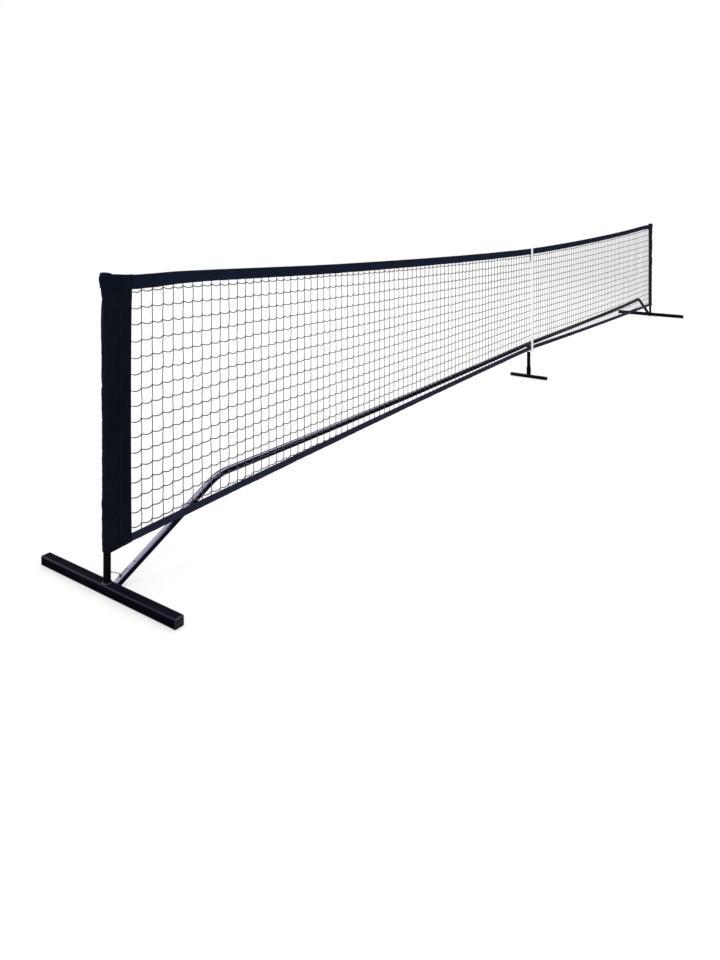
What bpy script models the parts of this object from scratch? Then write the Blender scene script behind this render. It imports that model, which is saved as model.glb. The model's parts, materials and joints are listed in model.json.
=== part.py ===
"""Portable pickleball net: a tube frame on three feet, two end posts and the net that slides over them.

Metres, +Z up. The origin is on the ground under the middle of the net. +X runs along the net to the
right end and -Y is the net's front, the side on which the net hangs clear of the frame's rail.
"""

import math

import bmesh
import bpy
from mathutils import Matrix, Vector

# Driving dimensions
HALF_SPAN = 3.35  # post axis to the middle of the net: a 22 ft net
FIT = 0.0003  # gap left between pieces that rest on each other
SIDES = 20  # facets round a tube
SMALL_SIDES = 12  # facets round a button, a bead or a drilled hole
CUT_REACH = 0.1  # how far a cutter runs clear of the piece
SIDES_OF_NET = ((-1, "left"), (1, "right"))

# End feet
FOOT_LENGTH = 0.602
FOOT_WIDTH = 0.034
FOOT_HEIGHT = 0.030
FOOT_CORNER = 0.0045
FOOT_WALL = 0.0015
CAP_THICKNESS = 0.006
CAP_EASE = 0.003  # bevel round the cap's outer face
CAP_PLUG = 0.018
PLUG_OVERLAP = 0.001

# Posts
POST_RADIUS = 0.011
POST_WALL = 0.0012
POST_TOP = 0.924
SPIGOT_RADIUS = 0.0094
SPIGOT_HEIGHT = 0.080
SPIGOT_EASE = (0.001, 0.002)  # inward and down, at its top
COLLAR_RADIUS = 0.0135
COLLAR_HEIGHT = 0.003
COLLAR_EASE = 0.0012
POST_PLUG = 0.014
POST_CAP_RIM = 0.0012
POST_CAP_FLAT = (0.6, 0.0030)  # share of the radius where the dome flattens, and its height there
POST_CAP_DOME = 0.0035

# Rail tubes and the swaged male ends that join them
TUBE_RADIUS = 0.0125
TUBE_WALL = 0.0012
MALE_RADIUS = 0.0104
MALE_LENGTH = 0.060
SHOULDER = 0.006
RISE_SLOPE = 0.476  # rise of the end tube towards the run
STUB_MOUTH = 0.079  # inboard distance of the stub's shoulder from the post axis
STUB_MOUTH_HEIGHT = 0.032
STUB_LENGTH = 0.1  # before it is cut to the foot's side
STUB_GROUND_GAP = 0.001
BEND_RADIUS = 0.18
RUN_HEIGHT_AT_BEND = 0.2140
JOINTS = ((2.44, 0.2100), (1.64, 0.2087), (0.84, 0.2133), (0.045, 0.2210))
SHOULDER_STEP = 0.0009
MALE_TIP = 0.002
MALE_TIP_STEP = 0.0008
SHOCK_CORD_RADIUS = 0.002
SHOCK_CORD_OVERRUN = 0.30  # past the outermost joint
SHOCK_CORD_END = 0.20  # distance of its inner end from the net's middle
SHOCK_CORD_SAG = 0.0018

# Centre foot, leg and tee
CENTRE_FOOT_LENGTH = 0.232
CENTRE_FOOT_WIDTH = 0.022
CENTRE_FOOT_HEIGHT = 0.020
CENTRE_FOOT_CORNER = 0.0045
SOCKET_RADIUS = 0.0135
SOCKET_BORE = 0.0113
SOCKET_HEIGHT = 0.050
SOCKET_FLOOR = 0.002
SOCKET_FLOOR_BORE = 0.0073
SOCKET_BUTTON_SHARE = 0.6  # height of the button on the socket, as a share of its height
TEE_DROP = 0.040
TEE_WEB = 0.001  # metal left between the tee's run and the leg's bore
TEE_TOP_EASE = 0.004
BORE_OVERRUN = 0.010

# Snap buttons
BUTTON_RADIUS = 0.0028
BUTTON_PROUD = 0.0033
BUTTON_HOLE = 0.0032
BUTTON_SETBACK = 0.030
BUTTON_DEPTH = 0.0055  # of the pin, inside the outer tube's surface
BUTTON_EASE = (0.62, 0.0004, 0.0015)  # the dome's flat, as a share of the radius, and its two drops
LEAF = (0.030, 0.006, 0.0008)

# Net
NET_Y = -0.0185
BAND_TOP_END = 0.929
BAND_TOP_MID = 0.845
BAND_SLACK = 1.6  # 1 would be a taut straight band from post to strap, 2 a free hanging one
BAND_HEIGHT = 0.0386
BAND_HALF = 0.0024
HEM_RADIUS = 0.0035
CORD_RADIUS = 0.002
SLOT_HALF = 0.0010
MESH_HALF = 0.0004
TAPE_HEIGHT = 0.025
TAPE_HALF = 0.0020
TAPE_EASE = 0.001
TAPE_FOLD_SHARE = 0.3  # height of the slot's floor, as a share of the tape's height
SEWN_IN_BAND = 0.45  # share of the band's height that the mesh does not reach
SEWN_IN_TAPE = 0.4
TAPE_MID = 0.186
TAPE_END = {-1: 0.126, 1: 0.109}
TAPE_BELLY = {-1: 0.007, 1: -0.006}
SLEEVE_REACH = 0.075
SLEEVE_RADIUS = 0.0150
SLEEVE_BORE = 0.0135
SLEEVE_HALF = 0.0015
SLEEVE_BOTTOM = {-1: 0.124, 1: 0.108}
POCKET_RADIUS = 0.0175
POCKET_BULGE = 0.019
POCKET_TOP = 0.938
POCKET_ROOF = 0.0035
POCKET_KNOB = 0.022  # inboard reach of the pocket's raised part
POCKET_SEAM_DROP = 0.0045  # of the seam between sleeve and pocket, below the band
BORE_SIDES = 16
FLANGE_SHARE = 0.4  # where the wrap round the post meets the flat flange, as a share of its reach
BULGE_SHARE = 0.3  # how much a bulge narrows the loop's outboard turn
STATIONS = 30

# White webbing at the centre: the strap, and the loop round the leg's socket that it sticks to
WEB_WIDTH = 0.032
WEB_THICK = 0.0012
WEB_LOOSE = 0.0005
WEB_BACK_LEG = 0.080
WEB_LOWER_END = 0.190
WEB_INSET_SHARE = 0.15  # of its thickness by which the flap's outline overlaps the band's
ANCHOR_BOTTOM = 0.172
ANCHOR_BAND = 0.012
ANCHOR_FLAP_TOP = 0.262
ANCHOR_RADIUS = 0.0142

# Tether between post and rail stub
TETHER_RADIUS = 0.0013
TETHER_HEIGHT = 0.056
BEAD_REACH = 0.054
BEAD_RADIUS = 0.0040
BEAD_HEIGHT = 0.0052
BEAD_SHOULDER = 0.0036
BEAD_BORE = 0.0015
TETHER_SAG = 0.001

STEEL = ("black_gloss_paint", (0.012, 0.013, 0.02), 0.22, 0.0)
ZINC = ("zinc", (0.55, 0.55, 0.56), 0.35, 1.0)
PLASTIC = ("black_plastic", (0.02, 0.02, 0.022), 0.5, 0.0)
NAVY = ("navy_fabric", (0.008, 0.011, 0.022), 0.9, 0.0)
BLACK = ("black_thread", (0.02, 0.02, 0.022), 0.85, 0.0)
WHITE = ("white_webbing", (0.86, 0.86, 0.86), 0.8, 0.0)
GREY = ("grey_cord", (0.36, 0.37, 0.34), 0.8, 0.0)


def clear_scene():
    for old in list(bpy.data.objects):
        bpy.data.objects.remove(old, do_unlink=True)


def collection(name):
    made = bpy.data.collections.new(name)
    bpy.context.scene.collection.children.link(made)
    return made


def material(spec):
    name, colour, roughness, metallic = spec
    found = bpy.data.materials.get(name)
    if found:
        return found
    made = bpy.data.materials.new(name)
    made.use_nodes = True
    shader = made.node_tree.nodes["Principled BSDF"]
    shader.inputs["Base Color"].default_value = (*colour, 1.0)
    shader.inputs["Roughness"].default_value = roughness
    shader.inputs["Metallic"].default_value = metallic
    return made


def add_object(name, mesh, spec, matrix=None):
    """Puts a mesh in the object's collection, painted and placed."""
    obj = bpy.data.objects.new(name, mesh)
    PARTS.objects.link(obj)
    if spec and not mesh.materials:
        mesh.materials.append(material(spec))
    if matrix:
        obj.matrix_world = matrix
    return obj


def as_cutter(obj):
    PARTS.objects.unlink(obj)
    CUTTERS.objects.link(obj)
    obj.hide_render = True
    obj.display_type = "WIRE"
    return obj


def boolean(obj, other, operation="DIFFERENCE"):
    modifier = obj.modifiers.new(operation.lower(), "BOOLEAN")
    modifier.operation = operation
    modifier.solver = "EXACT"
    modifier.object = other


def baked(obj):
    """Replaces an object by a plain mesh of what its modifiers or its curve make."""
    bpy.context.view_layer.update()
    graph = bpy.context.evaluated_depsgraph_get()
    mesh = bpy.data.meshes.new_from_object(obj.evaluated_get(graph))
    shape = bmesh.new()
    shape.from_mesh(mesh)
    bmesh.ops.remove_doubles(shape, verts=shape.verts, dist=0.00002)
    bmesh.ops.recalc_face_normals(shape, faces=shape.faces)
    shape.to_mesh(mesh)
    shape.free()
    name, place = obj.name, obj.matrix_world.copy()
    bpy.data.objects.remove(obj, do_unlink=True)
    mesh.name = name
    return add_object(name, mesh, None, place)


def mesh_from(shape, name):
    bmesh.ops.recalc_face_normals(shape, faces=shape.faces)
    mesh = bpy.data.meshes.new(name)
    shape.to_mesh(mesh)
    shape.free()
    return mesh


def smooth(obj, angle=35.0):
    obj.data.shade_smooth()
    obj.data.set_sharp_from_angle(angle=math.radians(angle))
    return obj


def frame_at(origin, z_axis, x_axis):
    """A placing matrix whose local Z and X point along the two directions."""
    z = Vector(z_axis).normalized()
    y = z.cross(Vector(x_axis)).normalized()
    x = y.cross(z)
    return Matrix.Translation(origin) @ Matrix((x, y, z)).transposed().to_4x4()


def turned(name, profile, spec, matrix=None, sides=SIDES):
    """A turned piece: a closed (radius, height) profile, down its outside first, spun about local Z."""
    mesh = bpy.data.meshes.new(name)
    count = len(profile)
    mesh.from_pydata([(r, 0.0, z) for r, z in profile], [(i, (i + 1) % count) for i in range(count)], [])
    obj = add_object(name, mesh, spec, matrix)
    spin = obj.modifiers.new("turn", "SCREW")
    spin.axis = "Z"
    spin.angle = math.tau
    spin.steps = sides
    spin.render_steps = sides
    spin.use_merge_vertices = True
    spin.merge_threshold = 0.00001
    return obj


def solid_turned(name, profile, spec, matrix=None, sides=SIDES):
    """A turned piece without a bore: the profile's ends lie on the axis."""
    mesh = bpy.data.meshes.new(name)
    mesh.from_pydata([(r, 0.0, z) for r, z in profile], [(i, i + 1) for i in range(len(profile) - 1)], [])
    obj = add_object(name, mesh, spec, matrix)
    spin = obj.modifiers.new("turn", "SCREW")
    spin.steps = sides
    spin.render_steps = sides
    spin.use_merge_vertices = True
    spin.merge_threshold = 0.00001
    return baked(obj)


def rounded_box(name, size, corner, spec, matrix=None, rim=0.0):
    """A bar along local Y with its four long edges rounded, and its ends' rims eased by rim."""
    shape = bmesh.new()
    bmesh.ops.create_cube(shape, size=1.0, matrix=Matrix.Diagonal((*size, 1.0)))
    long_edges = [
        e for e in shape.edges if abs((e.verts[0].co - e.verts[1].co).normalized().y) > 0.99
    ]
    bmesh.ops.bevel(shape, geom=long_edges, offset=corner, segments=3, profile=0.5, affect="EDGES")
    if rim:
        ends = [f for f in shape.faces if abs(f.normal.y) > 0.99]
        rims = list({e for f in ends for e in f.edges})
        bmesh.ops.bevel(shape, geom=rims, offset=rim, segments=1, profile=0.5, affect="EDGES")
    return smooth(add_object(name, mesh_from(shape, name), spec, matrix))


def box_cutter(name, low, high):
    shape = bmesh.new()
    size = Vector(high) - Vector(low)
    middle = (Vector(high) + Vector(low)) / 2
    bmesh.ops.create_cube(shape, size=1.0, matrix=Matrix.Translation(middle) @ Matrix.Diagonal((*size, 1.0)))
    return as_cutter(add_object(name, mesh_from(shape, name), None))


def hole_cutter(name, matrix):
    """A drill along local Z for a snap button's hole, through the wall on one side only."""
    start, end = TUBE_RADIUS * 0.3, TUBE_RADIUS * 2
    profile = [(0, end), (BUTTON_HOLE, end), (BUTTON_HOLE, start), (0, start)]
    return as_cutter(solid_turned(name, profile, None, matrix, SMALL_SIDES))


def pipe(name, points, radius, spec, sides=8, caps=True):
    """A round bar along a line of points, or without caps the open skin of one."""
    curve = bpy.data.curves.new(name, "CURVE")
    curve.dimensions = "3D"
    curve.bevel_depth = radius
    curve.bevel_resolution = sides // 2 - 2
    curve.use_fill_caps = caps
    line = curve.splines.new("POLY")
    line.points.add(len(points) - 1)
    for point, place in zip(line.points, points):
        point.co = (*place, 1.0)
    curve.materials.append(material(spec))
    obj = bpy.data.objects.new(name, curve)
    PARTS.objects.link(obj)
    return smooth(baked(obj), 60.0)


def arc(centre, radius, start, end, steps):
    """Points (x, y) of an arc, with angles in degrees."""
    turn = (end - start) / steps
    angles = [math.radians(start + turn * i) for i in range(steps + 1)]
    return [(centre[0] + radius * math.cos(a), centre[1] + radius * math.sin(a)) for a in angles]


def extruded(name, outline, low, high, spec):
    """A closed outline in XY, raised from one height to another."""
    shape = bmesh.new()
    bottom = shape.faces.new([shape.verts.new((x, y, low)) for x, y in outline])
    raised = bmesh.ops.extrude_face_region(shape, geom=[bottom])
    top = [v for v in raised["geom"] if isinstance(v, bmesh.types.BMVert)]
    bmesh.ops.translate(shape, verts=top, vec=(0, 0, high - low))
    return add_object(name, mesh_from(shape, name), spec)


# Frame


def rail_point(side, reach, height):
    return Vector((side * reach, 0.0, height))


def rise_point(side, inboard):
    """A point on the axis of the rising end tube, at a distance inboard of the post axis."""
    height = STUB_MOUTH_HEIGHT + RISE_SLOPE * (inboard - STUB_MOUTH)
    return rail_point(side, HALF_SPAN - inboard, height)


def rise_direction(side):
    return Vector((-side, 0.0, RISE_SLOPE)).normalized()


def male_profile(length):
    """A tube's profile: body from 0 to length, with a swaged male end below 0."""
    bore = MALE_RADIUS - TUBE_WALL
    inside = TUBE_RADIUS - TUBE_WALL
    return [
        (TUBE_RADIUS, length - FIT),
        (TUBE_RADIUS, SHOULDER / 2),
        (TUBE_RADIUS - SHOULDER_STEP, 0.0),
        (MALE_RADIUS, 0.0),
        (MALE_RADIUS, -MALE_LENGTH + MALE_TIP),
        (MALE_RADIUS - MALE_TIP_STEP, -MALE_LENGTH),
        (bore, -MALE_LENGTH),
        (bore, SHOULDER),
        (inside, 2 * SHOULDER),
        (inside, length - FIT),
    ]


def button_matrix(point, along, outward):
    return frame_at(point, outward, along)


def snap_button(name, matrix, surface):
    """A domed pin on its leaf spring, inside a tube; surface is the outer tube's radius."""
    top = surface + BUTTON_PROUD
    inner = surface - BUTTON_DEPTH
    flat, first_drop, second_drop = BUTTON_EASE
    dome = [
        (0, top),
        (BUTTON_RADIUS * flat, top - first_drop),
        (BUTTON_RADIUS, top - second_drop),
        (BUTTON_RADIUS, inner),
        (0, inner),
    ]
    pin = solid_turned(name, dome, ZINC, None, SMALL_SIDES)
    length, width, thick = LEAF
    shape = bmesh.new()
    centre = Vector((-length / 2 + width, 0, inner - thick / 2 + FIT))
    bmesh.ops.create_cube(
        shape, size=1.0, matrix=Matrix.Translation(centre) @ Matrix.Diagonal((*LEAF, 1.0))
    )
    leaf = as_cutter(add_object(name + "_leaf", mesh_from(shape, name + "_leaf"), ZINC))
    boolean(pin, leaf, "UNION")
    button = baked(pin)
    button.matrix_world = matrix
    return smooth(button)


def foot_assembly(side, word):
    """An end foot: bar, caps, the post's spigot and the stub that takes the rising rail tube."""
    post_x = side * HALF_SPAN
    place = Matrix.Translation((post_x, 0, FOOT_HEIGHT / 2))
    bar = rounded_box(
        f"{word}_foot_bar", (FOOT_WIDTH, FOOT_LENGTH, FOOT_HEIGHT), FOOT_CORNER, STEEL, place
    )
    bore_size = (FOOT_WIDTH - 2 * FOOT_WALL, FOOT_LENGTH + 2 * BORE_OVERRUN, FOOT_HEIGHT - 2 * FOOT_WALL)
    bore = rounded_box(f"{word}_foot_bore", bore_size, FOOT_CORNER - FOOT_WALL, None, place)
    boolean(bar, as_cutter(bore))
    for end, end_word in ((-1, "front"), (1, "back")):
        end_cap(f"{word}_foot_cap_{end_word}", post_x, end, FOOT_LENGTH, FOOT_WIDTH, FOOT_HEIGHT, FOOT_CORNER)
    turned(
        f"{word}_post_spigot",
        [
            (SPIGOT_RADIUS - SPIGOT_EASE[0], SPIGOT_HEIGHT),
            (SPIGOT_RADIUS, SPIGOT_HEIGHT - SPIGOT_EASE[1]),
            (SPIGOT_RADIUS, COLLAR_HEIGHT),
            (COLLAR_RADIUS - COLLAR_EASE, COLLAR_HEIGHT),
            (COLLAR_RADIUS, COLLAR_HEIGHT - COLLAR_EASE),
            (COLLAR_RADIUS, 0.0),
            (SPIGOT_RADIUS - TUBE_WALL, 0.0),
            (SPIGOT_RADIUS - TUBE_WALL, SPIGOT_HEIGHT),
        ],
        STEEL,
        Matrix.Translation((post_x, 0, FOOT_HEIGHT + FIT)),
    )
    rail_stub(side, word)


def end_cap(name, x, end, bar_length, width, height, corner):
    """A plastic cap: a flange over the bar's end with a plug inside the bar."""
    flange_y = end * (bar_length / 2 + FIT + CAP_THICKNESS / 2)
    place = Matrix.Translation((x, flange_y, height / 2))
    cap = rounded_box(name, (width, CAP_THICKNESS, height), corner, PLASTIC, place, CAP_EASE)
    slack = 2 * (FOOT_WALL + FIT)
    plug_size = (width - slack, CAP_PLUG, height - slack)
    plug_y = end * (bar_length / 2 + FIT + PLUG_OVERLAP - CAP_PLUG / 2)
    plug_place = Matrix.Translation((x, plug_y, height / 2))
    plug = rounded_box(name + "_plug", plug_size, corner - FOOT_WALL, PLASTIC, plug_place)
    boolean(cap, as_cutter(plug), "UNION")


def rail_stub(side, word):
    """The angled stub: welded to the foot's inner side, with a male end for the bent tube."""
    mouth = rise_point(side, STUB_MOUTH)
    # the stub's local +Z points back down to the foot, so that its male end points up the rise
    down = -rise_direction(side)
    stub = turned(
        f"{word}_rail_stub", male_profile(STUB_LENGTH), STEEL, frame_at(mouth, down, (0, 1, 0))
    )
    face = HALF_SPAN - FOOT_WIDTH / 2 - FIT
    wide = CUT_REACH
    low, high = sorted((side * face, side * (face + 2 * wide)))
    boolean(stub, box_cutter(f"{word}_stub_side_cut", (low, -wide, -wide), (high, wide, wide)))
    low, high = sorted((side * (face - 2 * wide), side * (face + wide)))
    floor = STUB_GROUND_GAP
    boolean(stub, box_cutter(f"{word}_stub_floor_cut", (low, -wide, -wide), (high, wide, floor)))
    boolean(stub, hole_cutter(f"{word}_stub_hole", rise_button_matrix(side)))


def rise_button_matrix(side):
    up = rise_direction(side)
    outward = Vector((side * up.z, 0.0, abs(up.x)))
    return button_matrix(rise_point(side, STUB_MOUTH) + up * BUTTON_SETBACK, up, outward)


def tee_button_matrix(side):
    reach, height = JOINTS[-1]
    # the button sits in the tee's level male end
    point = rail_point(side, reach + BUTTON_SETBACK, height)
    return button_matrix(point, (side, 0, 0), (0, 1, 0))


def bend_path(side):
    """The bent end tube's axis, from the stub's shoulder over the bend to the run."""
    start = rise_point(side, STUB_MOUTH) + rise_direction(side) * FIT
    end = rail_point(side, *JOINTS[0])
    inboard = STUB_MOUTH + (RUN_HEIGHT_AT_BEND - STUB_MOUTH_HEIGHT) / RISE_SLOPE
    corner = rise_point(side, inboard)
    before = rise_direction(side)
    after = (end - corner).normalized()
    turn = before.angle(after)
    reach = BEND_RADIUS * math.tan(turn / 2)
    first = corner - before * reach
    normal = (after - before * before.dot(after)).normalized()
    centre = first + normal * BEND_RADIUS
    steps = 5
    points = [start]
    for i in range(steps + 1):
        angle = turn * i / steps
        points.append(centre + (before * math.sin(angle) - normal * math.cos(angle)) * BEND_RADIUS)
    points.append(end - after * FIT)
    return points


def bent_tube(side, word):
    tube = pipe(f"{word}_bend_tube", bend_path(side), TUBE_RADIUS, STEEL, SIDES, False)
    wall = tube.modifiers.new("wall", "SOLIDIFY")
    wall.thickness = TUBE_WALL
    wall.offset = -1.0
    boolean(tube, hole_cutter(f"{word}_bend_hole", rise_button_matrix(side)))


def straight_rails(side, word):
    """Three rail tubes from the bent tube to the tee; each male end points outboard."""
    for i, place_word in enumerate(("outer", "middle", "inner")):
        start = rail_point(side, *JOINTS[i])
        end = rail_point(side, *JOINTS[i + 1])
        along = end - start
        rail = turned(
            f"{word}_{place_word}_rail",
            male_profile(along.length),
            STEEL,
            frame_at(start, along, (0, 1, 0)),
        )
        if place_word == "inner":
            boolean(rail, hole_cutter(f"{word}_inner_hole", tee_button_matrix(side)))


def shock_cord(side, word):
    """The elastic cord inside the rail tubes, which keeps the sections together."""
    reach, height = JOINTS[0]
    ends = [rail_point(side, reach + SHOCK_CORD_OVERRUN, height)]
    ends += [rail_point(side, *joint) for joint in JOINTS[:3]]
    ends.append(rail_point(side, SHOCK_CORD_END, JOINTS[-1][1] - SHOCK_CORD_SAG))
    pipe(f"{word}_shock_cord", ends, SHOCK_CORD_RADIUS, GREY)


def centre_tee():
    """The tee over the centre leg: male ends into the inner rails, and a socket for the leg."""
    reach, height = JOINTS[-1]
    level = frame_at((0, 0, height), (1, 0, 0), (0, 1, 0))
    tip = reach + MALE_LENGTH
    outside = [
        (0, tip),
        (MALE_RADIUS - MALE_TIP_STEP, tip),
        (MALE_RADIUS, tip - MALE_TIP),
        (MALE_RADIUS, reach),
        (TUBE_RADIUS - SHOULDER_STEP, reach),
        (TUBE_RADIUS, reach - SHOULDER / 2),
    ]
    mirrored = [(r, -z) for r, z in reversed(outside)]
    tee = solid_turned("centre_tee", outside + mirrored, STEEL, level)
    drop = height - TUBE_RADIUS - TEE_DROP
    socket = [(0, height), (SOCKET_RADIUS, height - TEE_TOP_EASE), (SOCKET_RADIUS, drop), (0, drop)]
    boolean(tee, as_cutter(solid_turned("tee_socket", socket, STEEL)), "UNION")
    past, bore = tip + BORE_OVERRUN, MALE_RADIUS - TUBE_WALL
    run_bore = [(0, past), (bore, past), (bore, -past), (0, -past)]
    boolean(tee, as_cutter(solid_turned("tee_run_bore", run_bore, STEEL, level)))
    leg_top = height - TUBE_RADIUS - TEE_WEB
    below = drop - BORE_OVERRUN
    leg_bore = [(0, leg_top), (SOCKET_BORE, leg_top), (SOCKET_BORE, below), (0, below)]
    boolean(tee, as_cutter(solid_turned("tee_leg_bore", leg_bore, STEEL)))
    for side, word in SIDES_OF_NET:
        boolean(tee, hole_cutter(f"tee_{word}_hole", tee_button_matrix(side)))
    return leg_top


def centre_support():
    """The middle foot with its socket and the leg up to the tee."""
    leg_top = centre_tee()
    bar_size = (CENTRE_FOOT_WIDTH, CENTRE_FOOT_LENGTH, CENTRE_FOOT_HEIGHT)
    place = Matrix.Translation((0, 0, CENTRE_FOOT_HEIGHT / 2))
    corner = CENTRE_FOOT_CORNER
    bar = rounded_box("centre_foot_bar", bar_size, corner, STEEL, place)
    bore_size = (
        CENTRE_FOOT_WIDTH - 2 * FOOT_WALL,
        CENTRE_FOOT_LENGTH + 2 * BORE_OVERRUN,
        CENTRE_FOOT_HEIGHT - 2 * FOOT_WALL,
    )
    bore = rounded_box("centre_foot_bore", bore_size, corner - FOOT_WALL, None, place)
    boolean(bar, as_cutter(bore))
    for end, end_word in ((-1, "front"), (1, "back")):
        name = f"centre_foot_cap_{end_word}"
        end_cap(name, 0.0, end, CENTRE_FOOT_LENGTH, CENTRE_FOOT_WIDTH, CENTRE_FOOT_HEIGHT, corner)
    hole = centre_button_matrix()
    base = CENTRE_FOOT_HEIGHT + FIT
    socket = turned(
        "centre_foot_socket",
        [
            (SOCKET_RADIUS, SOCKET_HEIGHT),
            (SOCKET_RADIUS, 0.0),
            (SOCKET_FLOOR_BORE, 0.0),
            (SOCKET_FLOOR_BORE, SOCKET_FLOOR),
            (SOCKET_BORE, SOCKET_FLOOR),
            (SOCKET_BORE, SOCKET_HEIGHT),
        ],
        STEEL,
        Matrix.Translation((0, 0, base)),
    )
    boolean(socket, hole_cutter("socket_hole", hole))
    bottom = base + SOCKET_FLOOR + FIT
    leg = turned(
        "centre_leg",
        [
            (POST_RADIUS, leg_top - FIT - bottom),
            (POST_RADIUS, 0.0),
            (POST_RADIUS - POST_WALL, 0.0),
            (POST_RADIUS - POST_WALL, leg_top - FIT - bottom),
        ],
        STEEL,
        Matrix.Translation((0, 0, bottom)),
    )
    boolean(leg, hole_cutter("leg_hole", hole))


def centre_button_matrix():
    height = CENTRE_FOOT_HEIGHT + SOCKET_HEIGHT * SOCKET_BUTTON_SHARE
    return button_matrix((0, 0, height), (0, 0, 1), (0, -1, 0))


def tether(side, word):
    """The short grey cord from the post to a bead on the rail stub."""
    x = HALF_SPAN - POST_RADIUS - TETHER_RADIUS / 2 - FIT
    bead_point = rise_point(side, BEAD_REACH)
    up = rise_direction(side)
    outward = Vector((side * up.z, 0.0, abs(up.x)))
    seat = bead_point + outward * (TUBE_RADIUS + FIT)
    bead = [
        (BEAD_RADIUS / 2, BEAD_HEIGHT),
        (BEAD_RADIUS, BEAD_SHOULDER),
        (BEAD_RADIUS, 0.0),
        (BEAD_BORE, 0.0),
        (BEAD_BORE, BEAD_HEIGHT),
    ]
    turned(f"{word}_tether_bead", bead, PLASTIC, frame_at(seat, outward, (0, 1, 0)), SMALL_SIDES)
    top = seat + outward * (BEAD_HEIGHT + FIT + TETHER_RADIUS)
    start = Vector((side * x, 0.0, TETHER_HEIGHT))
    sag = (start + top) / 2 - Vector((0, 0, TETHER_SAG))
    pipe(f"{word}_tether_cord", [start, sag, top], TETHER_RADIUS, GREY)


def post(side, word):
    base = FOOT_HEIGHT + FIT + COLLAR_HEIGHT + FIT
    x = side * HALF_SPAN
    tall = POST_TOP - base
    inside = POST_RADIUS - POST_WALL
    turned(
        f"{word}_post",
        [(POST_RADIUS, tall), (POST_RADIUS, 0.0), (inside, 0.0), (inside, tall)],
        STEEL,
        Matrix.Translation((x, 0, base)),
    )
    flat_share, flat_height = POST_CAP_FLAT
    cap = [
        (0, POST_CAP_DOME),
        (POST_RADIUS * flat_share, flat_height),
        (POST_RADIUS, POST_CAP_RIM),
        (POST_RADIUS, 0.0),
        (inside - FIT, 0.0),
        (inside - FIT, -POST_PLUG),
        (0, -POST_PLUG),
    ]
    smooth(
        solid_turned(
            f"{word}_post_cap", cap, PLASTIC, Matrix.Translation((x, 0, POST_TOP + FIT))
        )
    )


# Net


def band_top(x):
    share = abs(x) / HALF_SPAN
    return BAND_TOP_MID + (BAND_TOP_END - BAND_TOP_MID) * share**BAND_SLACK


def tape_bottom(x):
    side = -1 if x < 0 else 1
    share = abs(x) / HALF_SPAN
    straight = TAPE_MID + (TAPE_END[side] - TAPE_MID) * share
    return straight + 4 * TAPE_BELLY[side] * share * (1 - share)


def swept(name, section, spec):
    """A piece as long as the mesh, whose closed (y, z) section is asked for at each station."""
    reach = HALF_SPAN - SLEEVE_REACH - FIT
    xs = [reach * (2 * i / STATIONS - 1) for i in range(STATIONS + 1)]
    shape = bmesh.new()
    rings = [[shape.verts.new((x, y, z)) for y, z in section(x)] for x in xs]
    count = len(rings[0])
    for near, far in zip(rings, rings[1:]):
        for i in range(count):
            j = (i + 1) % count
            shape.faces.new((near[i], near[j], far[j], far[i]))
    shape.faces.new(rings[0])
    shape.faces.new(list(reversed(rings[-1])))
    return add_object(name, mesh_from(shape, name), spec)


def band_section(x):
    """Folded band: a hem round the top cord, and a slot that the mesh's edge is sewn into."""
    top = band_top(x)
    centre = top - HEM_RADIUS
    bottom = top - BAND_HEIGHT
    outside = arc((NET_Y, centre), HEM_RADIUS, -35, 215, 6)
    channel = arc((NET_Y, centre), CORD_RADIUS + 2 * FIT, 245, -65, 6)
    legs_in = [(NET_Y + BAND_HALF, bottom), (NET_Y + SLOT_HALF, bottom)]
    legs_out = [(NET_Y - SLOT_HALF, bottom), (NET_Y - BAND_HALF, bottom)]
    return outside + list(reversed(legs_out)) + channel + list(reversed(legs_in))


def cord_section(x):
    return arc((NET_Y, band_top(x) - HEM_RADIUS), CORD_RADIUS, 0, 300, 5)


def mesh_section(x):
    top = band_top(x) - BAND_HEIGHT * SEWN_IN_BAND
    bottom = tape_bottom(x) + TAPE_HEIGHT * SEWN_IN_TAPE
    low, high = NET_Y - MESH_HALF, NET_Y + MESH_HALF
    return [(low, bottom), (high, bottom), (high, top), (low, top)]


def tape_section(x):
    """Folded tape: a closed fold at the bottom and a slot for the mesh's lower edge."""
    bottom = tape_bottom(x)
    top = bottom + TAPE_HEIGHT
    fold = bottom + TAPE_HEIGHT * TAPE_FOLD_SHARE
    return [
        (NET_Y - TAPE_HALF, top),
        (NET_Y - TAPE_HALF, bottom + TAPE_EASE),
        (NET_Y - TAPE_HALF + TAPE_EASE, bottom),
        (NET_Y + TAPE_HALF - TAPE_EASE, bottom),
        (NET_Y + TAPE_HALF, bottom + TAPE_EASE),
        (NET_Y + TAPE_HALF, top),
        (NET_Y + SLOT_HALF, top),
        (NET_Y + SLOT_HALF, fold),
        (NET_Y - SLOT_HALF, fold),
        (NET_Y - SLOT_HALF, top),
    ]


def wrap_outline(side, radius, half, bulge):
    """Plan of fabric round a post: a loop about the post that runs into a flat flange at the net's plane."""
    back = arc((0.0, 0.0), radius, -20, 90, 5)
    outboard = arc((-bulge, 0.0), radius - bulge * BULGE_SHARE, 100, 250, 8)
    near = SLEEVE_REACH * FLANGE_SHARE
    flange = [
        (near, NET_Y - half),
        (SLEEVE_REACH, NET_Y - half),
        (SLEEVE_REACH, NET_Y + half),
        (near, NET_Y + half),
    ]
    points = back + outboard + flange
    return [(side * (HALF_SPAN - x), y) for x, y in points]


def post_bore(name, side, low, high):
    profile = [(0, high), (SLEEVE_BORE, high), (SLEEVE_BORE, low), (0, low)]
    place = Matrix.Translation((side * HALF_SPAN, 0, 0))
    return as_cutter(solid_turned(name, profile, None, place, BORE_SIDES))


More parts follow.
